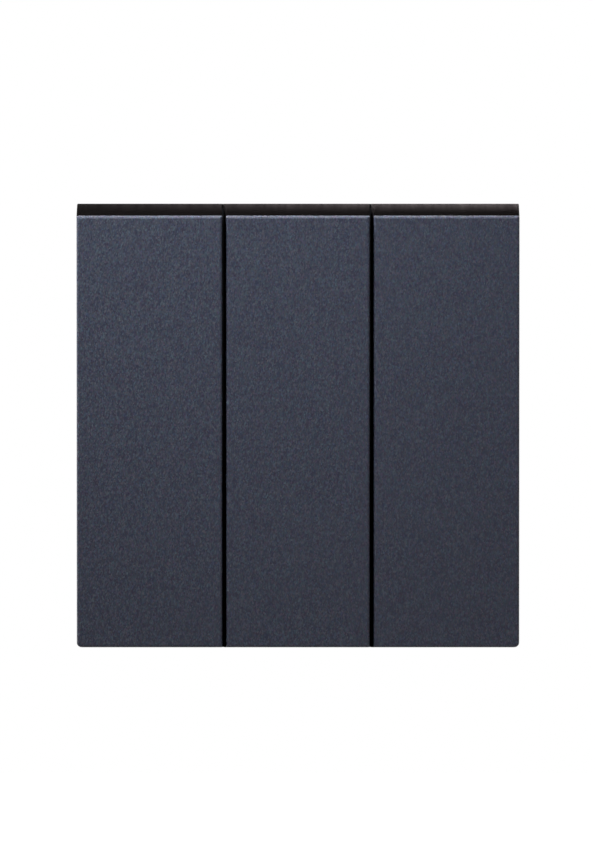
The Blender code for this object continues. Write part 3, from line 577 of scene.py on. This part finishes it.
@dataclass
class RockerCap:
    """A rocker cap: a thin lacquered shell with bare skirts, two clip legs and ribs.

    It is drawn in the rocker's axes: x across, y from the face inwards, z up the face.
    """

    gang: Gang
    module_width: float = 45.0 * MM
    pitch: float = 15.0 * MM
    gap: float = 0.4 * MM
    lower_end: float = 22.016 * MM
    upper_end: float = 21.955 * MM
    depth: float = 7.2 * MM
    pivot_depth: float = 7.1 * MM
    face_wall: float = 1.1 * MM
    skirt_wall: float = 0.9 * MM
    draft: float = math.radians(5.655)
    edge_radius: float = 0.28 * MM
    edge_steps: int = 8
    outer_corner: float = 0.48 * MM
    plain_corner: float = 0.12 * MM
    corner_steps: int = 8
    lip_reach: float = 0.3 * MM
    lip_depth: float = 2.6 * MM
    lip_steps: int = 6
    overlap: float = 0.2 * MM
    clip_place: float = 9.5 * MM
    clip_width: float = 4.0 * MM
    clip_thickness: float = 1.0 * MM
    clip_end: float = -2.7 * MM
    barb: float = 0.5 * MM
    barb_slope: float = 0.7 * MM
    barb_length: float = 1.1 * MM
    rib_places: tuple[float, ...] = (-3.4 * MM, 0.0, 3.4 * MM)
    rib_thickness: float = 0.7 * MM
    rib_start: float = 16.4 * MM
    rib_back: float = -3.4 * MM
    rib_toe: float = 0.6 * MM
    rib_top: float = 1.2 * MM

    def half_width(self) -> float:
        """Half the cap's width; the outer two caps end at the module's sides."""
        inner = (self.pitch - self.gap) / 2
        outer = (self.module_width / 2 - inner - self.gap) / 2
        return inner if self.gang is Gang.MIDDLE else outer

    def loop(self, sides: Pair, grown: float, radii: list[float], depth: float) -> list[Point]:
        """Draws a rounded rectangle at one depth.

        Args:
            sides: the x of the left and of the right side.
            grown: how far both ends lie outside the face's ends.
            radii: the corner radii at the lower left, lower right, upper right and upper left.
            depth: how far the loop lies behind the face.

        Returns:
            The loop's points.
        """
        low = (sides[0], -self.lower_end - grown)
        high = (sides[1], self.upper_end + grown)
        y = depth - self.pivot_depth
        return [(x, y, z) for x, z in rounded(low, high, radii, self.corner_steps)]

    def outside(self, inset: float, depth: float, flare: float = 0.0) -> list[Point]:
        """Draws a loop of the cap's outside.

        Args:
            inset: how far the loop lies within the skirts.
            depth: how far it lies behind the face.
            flare: how far its left side stands out.

        Returns:
            The loop's points.
        """
        corners = [self.plain_corner] * 4
        if self.gang is Gang.LEFT:
            corners[0] = self.outer_corner
        if self.gang is Gang.RIGHT:
            corners[1] = self.outer_corner
        radii = [max(radius - inset, self.plain_corner / 2) for radius in corners]
        half = self.half_width()
        sides = (-half + inset - flare, half - inset)
        return self.loop(sides, depth * math.tan(self.draft) - inset, radii, depth)

    def loops(self) -> list[tuple[float, list[Point]]]:
        """Draws the loops down the outside and up the inside.

        Returns:
            Each loop's depth behind the face in millimetres, and its points.
        """
        made = []
        for step in range(self.edge_steps + 1):
            turn = math.pi / 2 * step / self.edge_steps
            inset = self.edge_radius * (1 - math.sin(turn))
            depth = self.edge_radius * (1 - math.cos(turn))
            made.append((depth / MM, self.outside(inset, depth)))
        lip = 0.0 if self.gang is Gang.LEFT else self.lip_reach
        for step in range(self.lip_steps + 1):
            share = step / self.lip_steps
            depth = self.depth - self.lip_depth * (1 - share)
            flare = lip * math.sin(share * math.pi / 2)
            made.append((depth / MM, self.outside(0.0, depth, flare)))
        half = self.half_width()
        sides = (-half + self.skirt_wall, half - self.skirt_wall)
        for depth in (self.depth, self.face_wall):
            grown = depth * math.tan(self.draft) - self.skirt_wall
            points = self.loop(sides, grown, [self.plain_corner] * 4, depth)
            made.append((self.depth / MM, points))
        return made

    def root(self) -> float:
        """The y at which legs and ribs start, a little inside the face's wall."""
        return self.face_wall - self.pivot_depth - self.overlap

    def add_clip(self, bm: Shape, side: int) -> None:
        """Adds a clip leg under the face.

        Args:
            bm: the cap's mesh.
            side: 1 for the upper leg, -1 for the lower.
        """
        inner = self.clip_place - self.clip_thickness / 2
        outer = inner + self.clip_thickness
        tip = self.clip_end - self.barb_length
        outline = [
            (self.root(), inner),
            (self.clip_end, inner),
            (self.clip_end, outer),
            (self.clip_end - self.barb_slope, outer + self.barb),
            (tip, outer + self.barb),
            (tip, outer),
            (self.root(), outer),
        ]
        half = self.clip_width / 2
        add_block(bm, [(y, side * z) for y, z in outline], 0, -half, half, skin=1)

    def add_rib(self, bm: Shape, x: float, side: int) -> None:
        """Adds a rib that stiffens one end of the cap from inside.

        Args:
            bm: the cap's mesh.
            x: the rib's place across the cap.
            side: 1 for the upper end, -1 for the lower.
        """
        face_end = self.upper_end if side > 0 else self.lower_end
        end = face_end - self.skirt_wall + self.overlap
        outline = [
            (self.root(), self.rib_start),
            (self.root() + self.rib_toe, self.rib_start),
            (self.rib_back, end - self.rib_top),
            (self.rib_back, end),
            (self.root(), end),
        ]
        half = self.rib_thickness / 2
        add_block(bm, [(y, side * z) for y, z in outline], 0, x - half, x + half, skin=1)

    def build(self) -> Thing:
        """Builds the cap, tilted on its pivot as it rests.

        Returns:
            The cap, riding on its rocker.
        """
        bm = bmesh.new()
        mark = bm.verts.layers.float.new("skirt_depth")
        rings = []
        for depth, points in self.loops():
            rings.append([bm.verts.new(point) for point in points])
            for vert in rings[-1]:
                vert[mark] = depth
        bm.faces.new(rings[0])
        for number, (near, far) in enumerate(zip(rings, rings[1:])):
            for k in range(len(near)):
                face = bm.faces.new((near[k - 1], near[k], far[k], far[k - 1]))
                face.material_index = int(number >= self.edge_steps)
        bm.faces.new(rings[-1]).material_index = 1
        for side in (1, -1):
            self.add_clip(bm, side)
            for x in self.rib_places:
                self.add_rib(bm, x, side)
        bmesh.ops.transform(bm, matrix=rocker_axes(self.gang), verts=bm.verts[:])
        cap = publish(f"lacquered_cap_{self.gang.value}", bm, [LACQUER, SKIRT])
        keep_flats(cap)
        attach(cap, f"{self.gang.value}_rocker")
        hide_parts(f"rocker_cap_{self.gang.value}")
        return cap


# --- Plunger springs ---


@dataclass
class PlungerSpring:
    """A coiled compression spring with closed ends."""

    gang: Gang
    wire: float = 0.35 * MM
    radius: float = 1.1 * MM
    turns: int = 5
    end_pitch: float = 0.38 * MM
    front: float = -2.2 * MM
    length: float = 4.9 * MM
    travel: float = 1.2 * MM
    steps_per_turn: int = 32
    sides: int = 12

    def place_along(self, turn: float) -> float:
        """Finds how far along its axis the wire has run after some turns.

        Args:
            turn: the number of turns from the front end.

        Returns:
            The distance of the wire's middle from the spring's front.
        """
        rise = self.length - self.wire
        pitch = (rise - 2 * self.end_pitch) / (self.turns - 2)
        first = min(turn, 1.0) * self.end_pitch
        open_turns = min(max(turn - 1.0, 0.0), self.turns - 2.0) * pitch
        last = max(turn - self.turns + 1.0, 0.0) * self.end_pitch
        return self.wire / 2 + first + open_turns + last

    def coil(self) -> Shape:
        """Draws the wire in the rocker's axes.

        Returns:
            The wire's mesh.
        """
        count = self.turns * self.steps_per_turn
        line = []
        for step in range(count + 1):
            turn = step / self.steps_per_turn
            angle = 2 * math.pi * turn
            y = self.front + self.place_along(turn)
            line.append(Vector((self.radius * math.cos(angle), y, self.radius * math.sin(angle))))
        bm = bmesh.new()
        section = [2 * math.pi * k / self.sides for k in range(self.sides)]
        rings = []
        for step, centre in enumerate(line):
            along = (line[min(step + 1, count)] - line[max(step - 1, 0)]).normalized()
            out = Vector((centre.x, 0.0, centre.z)).normalized()
            across = along.cross(out).normalized()
            ways = [out * math.cos(a) + across * math.sin(a) for a in section]
            rings.append([bm.verts.new(centre + way * self.wire / 2) for way in ways])
        for near, far in zip(rings, rings[1:]):
            for k in range(self.sides):
                bm.faces.new((near[k - 1], near[k], far[k], far[k - 1]))
        for ring in (rings[0], rings[-1]):
            bm.faces.new(ring)
        return bm

    def build(self) -> Thing:
        """Builds the spring in its tube.

        Returns:
            The spring, riding on its rocker.
        """
        bm = self.coil()
        place = rocker_axes(self.gang)
        bmesh.ops.transform(bm, matrix=place, verts=bm.verts[:])
        spring = publish(f"coiled_plunger_spring_{self.gang.value}", bm, [SPRING_STEEL])
        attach(spring, f"{self.gang.value}_rocker")
        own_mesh(spring)
        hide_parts(f"plunger_spring_{self.gang.value}")
        return spring


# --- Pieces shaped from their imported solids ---


@dataclass
class ShapedSolid:
    """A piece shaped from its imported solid: recesses are cut and every outer edge is rounded."""

    node: str
    piece: str
    body: str
    edge: float = 0.1 * MM
    edge_steps: int = 3
    corner: float = 0.0
    corner_steps: int = 4
    more_finishes: tuple[Finish, ...] = ()

    def recesses(self) -> Shape | None:
        """Draws what is cut from the solid; from a plain piece nothing is cut."""
        return None

    def additions(self, bm: Shape) -> None:
        """Adds small closed blocks that grow from the solid; a plain piece has none."""

    def attach(self, made: Thing) -> None:
        """Fixes the piece to its body."""
        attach(made, self.body)

    def join_flats(self, bm: Shape) -> None:
        """Joins the triangles that lie in one plane."""
        bmesh.ops.dissolve_limit(bm, angle_limit=FLAT_ANGLE, verts=bm.verts[:], edges=bm.edges[:])

    def solid(self) -> Shape:
        """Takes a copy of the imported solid, with its flat faces joined up.

        Returns:
            The copy.
        """
        bm = bmesh.new()
        bm.from_mesh(frame["nodes"][self.node].data)
        bmesh.ops.remove_doubles(bm, verts=bm.verts[:], dist=WELD)
        for face in bm.faces:
            face.material_index = 0
        self.join_flats(bm)
        return bm

    def round_corners(self, bm: Shape) -> None:
        """Rounds the solid's long outer corners, those that run into the wall.

        Args:
            bm: the solid.
        """
        side = max(abs(v.co.x) for v in bm.verts)
        top = max(abs(v.co.z) for v in bm.verts if abs(abs(v.co.x) - side) < NEAR)
        corners = [
            edge
            for edge in bm.edges
            if all(abs(abs(v.co.x) - side) < NEAR and abs(abs(v.co.z) - top) < NEAR for v in edge.verts)
            and abs(edge.verts[0].co.x - edge.verts[1].co.x) < NEAR
            and abs(edge.verts[0].co.z - edge.verts[1].co.z) < NEAR
        ]
        bmesh.ops.bevel(
            bm, geom=corners, offset=self.corner, segments=self.corner_steps, profile=0.5, affect="EDGES"
        )

    def round_edges(self, bm: Shape) -> None:
        """Rounds every outer edge a little, as a mould's own edges do.

        Args:
            bm: the solid.
        """
        sharp = [
            edge
            for edge in bm.edges
            if edge.is_manifold and edge.is_convex and edge.calc_face_angle() > ROUNDED_ANGLE
        ]
        width, steps = self.edge, self.edge_steps
        bmesh.ops.bevel(
            bm, geom=sharp, offset=width, segments=steps, profile=0.5, affect="EDGES", clamp_overlap=True
        )

    def cut(self, bm: Shape, cutter: Shape) -> Shape:
        """Cuts the recesses.

        Args:
            bm: the solid, which is used up.
            cutter: the cutting mesh, which is used up.

        Returns:
            The solid with its recesses.
        """
        parts = []
        for name, part in (("solid", bm), ("cutter", cutter)):
            mesh = bpy.data.meshes.new(name)
            part.to_mesh(mesh)
            part.free()
            parts.append(bpy.data.objects.new(name, mesh))
            bpy.context.scene.collection.objects.link(parts[-1])
        change = parts[0].modifiers.new("recesses", "BOOLEAN")
        change.operation = "DIFFERENCE"
        change.solver = "EXACT"
        change.object = parts[1]
        bpy.context.view_layer.update()
        shaped = parts[0].evaluated_get(bpy.context.evaluated_depsgraph_get())
        made = bmesh.new()
        made.from_mesh(shaped.to_mesh())
        shaped.to_mesh_clear()
        for part in parts:
            mesh = part.data
            bpy.data.objects.remove(part)
            bpy.data.meshes.remove(mesh)
        bmesh.ops.remove_doubles(made, verts=made.verts[:], dist=CUT_WELD)
        self.join_flats(made)
        return made

    def build(self) -> Thing:
        """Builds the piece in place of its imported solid.

        Returns:
            The piece, which moves with its body.
        """
        bm = self.solid()
        if self.corner:
            self.round_corners(bm)
        self.round_edges(bm)
        cutter = self.recesses()
        if cutter:
            bm = self.cut(bm, cutter)
        self.additions(bm)
        slot = slot_of(self.node)
        made = publish(self.piece, bm, [SLOT_FINISHES[slot], *self.more_finishes])
        keep_flats(made)
        self.attach(made)
        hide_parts(self.node)
        return made


@dataclass
class Housing(ShapedSolid):
    """The rear box: a bare label field, a stripping gauge and the marks that moulding leaves.

    The wall panels are shallow sunk fields, two on each wall, with a bar left between them.
    """

    corner: float = 0.5 * MM
    sink: float = 0.22 * MM
    label: tuple[Pair, Pair] = ((-9.5 * MM, -4.2 * MM), (9.5 * MM, 5.2 * MM))
    label_corner: float = 0.8 * MM
    gauge: tuple[Pair, Pair] = ((-5.0 * MM, -8.6 * MM), (5.0 * MM, -7.6 * MM))
    gauge_corner: float = 0.4 * MM
    gate_z: float = 11.0 * MM
    gate_radius: float = 1.3 * MM
    hole_x: float = 15.1 * MM
    hole_z: float = 15.485 * MM
    hole_rim: float = 2.5 * MM
    ejector_x: float = 16.5 * MM
    ejector_z: float = 5.5 * MM
    ejector_radius: float = 1.5 * MM
    ejector_sink: float = 0.1 * MM
    panel_corner: float = 1.0 * MM
    panel_bar: float = 1.2 * MM
    side_wall: float = 21.3 * MM
    side_panel: float = 17.0 * MM
    side_depths: Pair = (4.5 * MM, 20.8 * MM)
    top_wall: float = 19.835 * MM
    top_panel: float = 18.5 * MM
    top_depths: Pair = (11.0 * MM, 20.8 * MM)

    def rear_marks(self) -> list[tuple[Outline, float]]:
        """Draws what is sunk in the rear wall.

        Returns:
            Each mark's outline and depth.
        """
        marks = [
            (rounded(*self.label, [self.label_corner] * 4), self.sink),
            (rounded(*self.gauge, [self.gauge_corner] * 4), self.sink),
            (disc(0.0, self.gate_z, self.gate_radius), self.sink),
        ]
        for x, z in ((-1, -1), (0, -1), (1, -1), (-1, 1), (1, 1)):
            marks.append((disc(x * self.hole_x, z * self.hole_z, self.hole_rim), self.sink))
        for x in (-self.ejector_x, self.ejector_x):
            for z in (-self.ejector_z, self.ejector_z):
                marks.append((disc(x, z, self.ejector_radius), self.ejector_sink))
        return marks

    def recesses(self) -> Shape:
        """Draws the marks in the rear wall and the panels in the other four.

        Returns:
            The cutting mesh.
        """
        bm = bmesh.new()
        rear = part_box(self.node)[1].y
        for outline, sink in self.rear_marks():
            add_block(bm, outline, 1, rear - sink, rear + CLEAR)
        corners = [self.panel_corner] * 4
        for side in (-1, 1):
            for axis, wall, reach, depths in (
                (0, self.side_wall, self.side_panel, self.side_depths),
                (2, self.top_wall, self.top_panel, self.top_depths),
            ):
                levels = sorted((side * (wall - self.sink), side * (wall + CLEAR)))
                for ends in ((-reach, -self.panel_bar), (self.panel_bar, reach)):
                    places = list(zip(depths, ends) if axis == 0 else zip(ends, depths))
                    add_block(bm, rounded(*places, corners), axis, *levels)
        return bm


@dataclass
class Frame(ShapedSolid):
    """The flange with its lugs and legs, and near-black tongues behind the slots' ends: painted shade there, which
    also keeps light out.
    """

    # The tongues take the near-black skirt finish, as painted shade in the slots' ends.
    more_finishes: tuple[Finish, ...] = (SKIRT,)
    slot_x: float = 7.5 * MM
    tongue_width: float = 1.2 * MM
    tongue_root: float = 21.9 * MM
    tongue_end: float = 22.62 * MM
    tongue_corner: float = 0.2 * MM
    front: float = -1.75 * MM
    back: float = -0.35 * MM

    def additions(self, bm: Shape) -> None:
        """Adds a near-black tongue behind each end of the two slots, as painted shade there.

        Args:
            bm: the frame's mesh.
        """
        half = self.tongue_width / 2
        corners = [self.tongue_corner] * 4
        for x in (-self.slot_x, self.slot_x):
            for side in (-1, 1):
                low, high = sorted((side * self.tongue_root, side * self.tongue_end))
                outline = rounded((x - half, self.front), (x + half, self.back), corners)
                add_block(bm, outline, 2, low, high, skin=1)


@dataclass
class ReleaseButton(ShapedSolid):
    """A release button with a notch for the screwdriver's blade."""

    edge: float = 0.08 * MM
    notch: Pair = (1.8 * MM, 0.55 * MM)
    notch_depth: float = 0.45 * MM
    notch_corner: float = 0.1 * MM

    def recesses(self) -> Shape:
        """Draws the blade's notch in the middle of the head.

        Returns:
            The cutting mesh.
        """
        bm = bmesh.new()
        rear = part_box(self.node)[1].y
        head = [v.co for v in frame["nodes"][self.node].data.vertices if v.co.y > rear - NEAR]
        x = (min(p.x for p in head) + max(p.x for p in head)) / 2
        z = (min(p.z for p in head) + max(p.z for p in head)) / 2
        half, tall = self.notch[0] / 2, self.notch[1] / 2
        corners = [self.notch_corner] * 4
        outline = rounded((x - half, z - tall), (x + half, z + tall), corners)
        add_block(bm, outline, 1, rear - self.notch_depth, rear + CLEAR)
        return bm


@dataclass
class ClampSpring(ShapedSolid):
    """A leaf spring, cut into short bands and left where it stands, not attached to its button.

    The rises, how far inwards of the wire the leg would be still and how far it would move in full, are not used.
    """

    edge: float = 0.05 * MM
    wire_level: float = 15.485 * MM
    still_rise: float = 7.0 * MM
    bent_rise: float = 3.9 * MM
    bands: int = 24

    def additions(self, bm: Shape) -> None:
        """Divides the spring into short bands along its height.

        Args:
            bm: the spring's mesh.
        """
        low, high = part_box(self.node)
        for band in range(1, self.bands):
            level = low.z + (high.z - low.z) * band / self.bands
            bmesh.ops.bisect_plane(
                bm,
                geom=bm.verts[:] + bm.edges[:] + bm.faces[:],
                plane_co=(0.0, 0.0, level),
                plane_no=(0.0, 0.0, 1.0),
            )

    def attach(self, made: Thing) -> None:
        """Bakes the spring's place into its mesh; it stays where it stands and is not attached to its button.

        Args:
            made: the spring.
        """
        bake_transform(made)


@dataclass
class InnerPiece(ShapedSolid):
    """A contact, terminal, cradle or plunger, which only needs its edges rounded."""

    edge: float = 0.06 * MM


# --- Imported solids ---


@dataclass
class PackedSolids:
    """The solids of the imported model, which finer pieces stand in for."""

    def build(self) -> int:
        """Gives each solid the finish of its material slot.

        Returns:
            The number of solids.
        """
        for name, node in frame["nodes"].items():
            for place in node.material_slots:
                place.material = SLOT_FINISHES[slot_of(name)].material()
        return len(frame["nodes"])


# --- Studio ---


@dataclass
class Softbox:
    """A rectangular soft lamp."""

    name: str
    place: Point
    target: Point
    size: Pair
    power: float
    colour: str = "#ffffff"
    spread: float = 180.0

    def build(self) -> None:
        """Builds the lamp, turned to its target."""
        data = bpy.data.lights.new(self.name, "AREA")
        data.shape = "RECTANGLE"
        data.size, data.size_y = self.size
        data.energy = self.power
        data.color = linear(self.colour)[:3]
        data.spread = math.radians(self.spread)
        lamp = bpy.data.objects.new(self.name, data)
        lamp.location = self.place
        way = Vector(self.target) - Vector(self.place)
        lamp.rotation_euler = way.to_track_quat("-Z", "Y").to_euler()
        lamp.visible_camera = False
        bpy.context.scene.collection.objects.link(lamp)


@dataclass
class Studio:
    """The pale floor, the soft light and the camera.

    The floor is a dim board to the light that it throws back, and pale paper to the eye.
    """

    sky: float = 0.2
    sky_colour: str = "#ffd6b0"
    floor_level: float = -50.0 * MM
    floor_radius: float = 0.9
    floor_sides: int = 96
    board_colour: str = "#565452"
    paper_colour: str = "#a0a0a0"
    glow: Pair = (0.64, 1.0)
    glow_radii: Pair = (0.06, 0.24)
    camera_distance: float = 2.2
    camera_x: float = -0.05 * MM
    camera_z: float = 0.05 * MM
    camera_clip: Pair = (0.1, 10.0)
    face_depth: float = -11.2 * MM
    pixel: float = 0.10163 * MM
    frame_height: int = 850
    sensor: float = 36.0

    def by_ray(self, tree: Tree, light: Node, sight: Node) -> Node:
        """Lets a surface look different from the light that it gives.

        Args:
            tree: the node tree that takes the nodes.
            light: the shader for the rays that only carry light.
            sight: the shader for camera, glossy and transmission rays.

        Returns:
            The shader of both.
        """
        rays = add_node(tree, "LightPath")
        first = add_node(
            tree,
            "Math",
            {"operation": "MAXIMUM"},
            {0: rays.outputs["Is Camera Ray"], 1: rays.outputs["Is Glossy Ray"]},
        )
        both = add_node(
            tree, "Math", {"operation": "MAXIMUM"}, {0: first, 1: rays.outputs["Is Transmission Ray"]}
        )
        mixed = add_node(tree, "MixShader", {}, {0: both, 1: light, 2: sight})
        return mixed

    def world(self) -> None:
        """Makes the surroundings white to the camera and in reflections, and softer as light."""
        world = bpy.data.worlds.new("pale_studio")
        world.use_nodes = True
        bpy.context.scene.world = world
        tree = world.node_tree
        tree.nodes.clear()
        soft = add_node(tree, "Background", {"Color": linear(self.sky_colour), "Strength": self.sky})
        white = add_node(tree, "Background", {"Color": linear("#ffffff"), "Strength": 1.0})
        both = self.by_ray(tree, soft, white)
        add_node(tree, "OutputWorld", {}, {"Surface": both})

    def paper(self) -> bpy.types.Material:
        """Makes the floor's material: it keeps the object's shadow, and fades to white around it.

        Returns:
            The material, which is clear from below.
        """
        made = bpy.data.materials.new("pale_matt_board")
        made.use_nodes = True
        tree = made.node_tree
        tree.nodes.clear()
        place = add_node(tree, "TexCoord").outputs["Object"]
        off = add_node(tree, "VectorMath", {"operation": "LENGTH"}, {0: place})
        glow = add_node(
            tree, "MapRange", span(self.glow_radii, self.glow), {"Value": off.outputs["Value"]}
        )
        board = add_node(tree, "BsdfDiffuse", {"Color": linear(self.board_colour)})
        paper = add_node(tree, "BsdfDiffuse", {"Color": linear(self.paper_colour)})
        light = add_node(tree, "Emission", {"Color": linear("#ffffff")}, {"Strength": glow})
        shown = add_node(tree, "AddShader", {}, {0: paper, 1: light})
        both = self.by_ray(tree, board, shown)
        under = add_node(tree, "NewGeometry").outputs["Backfacing"]
        clear = add_node(tree, "BsdfTransparent")
        open_below = add_node(tree, "MixShader", {}, {0: under, 1: both, 2: clear})
        add_node(tree, "OutputMaterial", {}, {"Surface": open_below})
        return made

    def floor(self) -> None:
        """Builds the round floor, some way below the object."""
        bm = bmesh.new()
        bmesh.ops.create_circle(bm, cap_ends=True, segments=self.floor_sides, radius=self.floor_radius)
        mesh = bpy.data.meshes.new("floor")
        bm.to_mesh(mesh)
        bm.free()
        mesh.materials.append(self.paper())
        board = bpy.data.objects.new("floor", mesh)
        board.location = (0.0, 0.0, self.floor_level)
        bpy.context.scene.collection.objects.link(board)

    def lamps(self) -> list[Softbox]:
        """Lists the studio's lamps."""
        return [
            # Lights the faces from the front, upper left, so that they darken downwards.
            Softbox(
                "key_softbox", (-36 * MM, -150 * MM, 71 * MM), (-3 * MM, -11 * MM, 28 * MM),
                size=(60 * MM, 45 * MM), power=0.0498, colour="#e5f1ff", spread=90.0,
            ),
            # Draws the bright line on the caps' top edges and lights their top skirts.
            Softbox(
                "overhead_softbox", (-34 * MM, -16 * MM, 90 * MM), (-3 * MM, -13 * MM, 24 * MM),
                size=(14 * MM, 70 * MM), power=0.02, spread=34.0,
            ),
            # Lights the housing's rear and top.
            Softbox(
                "rear_softbox", (120 * MM, 190 * MM, 150 * MM), (0.0, 10 * MM, 0.0),
                size=(190 * MM, 150 * MM), power=0.55,
            ),
            # Lights the housing's left side.
            Softbox(
                "left_softbox", (-200 * MM, 110 * MM, 40 * MM), (0.0, 10 * MM, 0.0),
                size=(180 * MM, 180 * MM), power=0.35,
            ),
        ]

    def camera(self) -> None:
        """Builds the camera, square on to the caps."""
        data = bpy.data.cameras.new("camera")
        data.sensor_width = self.sensor
        field = self.frame_height * self.pixel
        data.lens = data.sensor_width * self.camera_distance / field
        data.clip_start, data.clip_end = self.camera_clip
        camera = bpy.data.objects.new("camera", data)
        camera.location = (self.camera_x, self.face_depth - self.camera_distance, self.camera_z)
        camera.rotation_euler = (math.pi / 2, 0.0, 0.0)
        bpy.context.scene.collection.objects.link(camera)
        bpy.context.scene.camera = camera

    def build(self) -> None:
        """Builds the studio round the object."""
        self.world()
        self.floor()
        for lamp in self.lamps():
            lamp.build()
        self.camera()
        bpy.context.scene.view_settings.view_transform = "Standard"


# --- Assembly ---


def clamp_pieces() -> list[ShapedSolid]:
    """Lists the release buttons and their clamp springs.

    Returns:
        The pieces, not yet built.
    """
    listed = []
    for gang in Gang:
        for side in ("output",) if gang is Gang.MIDDLE else ("output", "line"):
            body = f"{gang.value}_{side}_button"
            button = f"{side}_release_{gang.value}"
            clamp = f"{side}_clamp_{gang.value}"
            listed.append(ReleaseButton(button, f"notched_{button}", body))
            listed.append(ClampSpring(clamp, f"bent_{clamp}", body))
    return listed


def inner_pieces() -> list[ShapedSolid]:
    """Lists the inner pieces that only need their edges rounded.

    Returns:
        The pieces, not yet built.
    """
    bus_bar = "line_busbar"
    listed = [InnerPiece(bus_bar, f"formed_{bus_bar}", "base")]
    for gang in Gang:
        name = gang.value
        for node, piece, body in (
            ("rocker_cradle", "moulded_cradle", f"{name}_rocker"),
            ("plunger", "moulded_plunger", f"{name}_plunger"),
            ("contact_rocker", "stamped_seesaw", f"{name}_seesaw"),
            ("moving_contact", "headed_moving_contact", f"{name}_seesaw"),
            ("fixed_contact", "headed_fixed_contact", "base"),
            ("output_terminal", "formed_output_terminal", "base"),
        ):
            listed.append(InnerPiece(f"{node}_{name}", f"{piece}_{name}", body))
    return listed


def main() -> None:
    """Builds the classes in order and reports each piece."""
    logging.basicConfig(level=logging.INFO, format="%(name)s: %(message)s")
    LOG.info("dressed %d packed solids", PackedSolids().build())
    shaped = [
        Housing("base_housing", "moulded_housing", "base"),
        Frame("module_frame", "moulded_frame", "base"),
        *clamp_pieces(),
        *inner_pieces(),
    ]
    for piece in shaped:
        LOG.info("built %s", piece.build().name)
    for gang in Gang:
        LOG.info("built %s", RockerCap(gang).build().name)
        LOG.info("built %s", PlungerSpring(gang).build().name)
    Studio().build()
    LOG.info("sizes written")


if __name__ == "__main__":
    main()
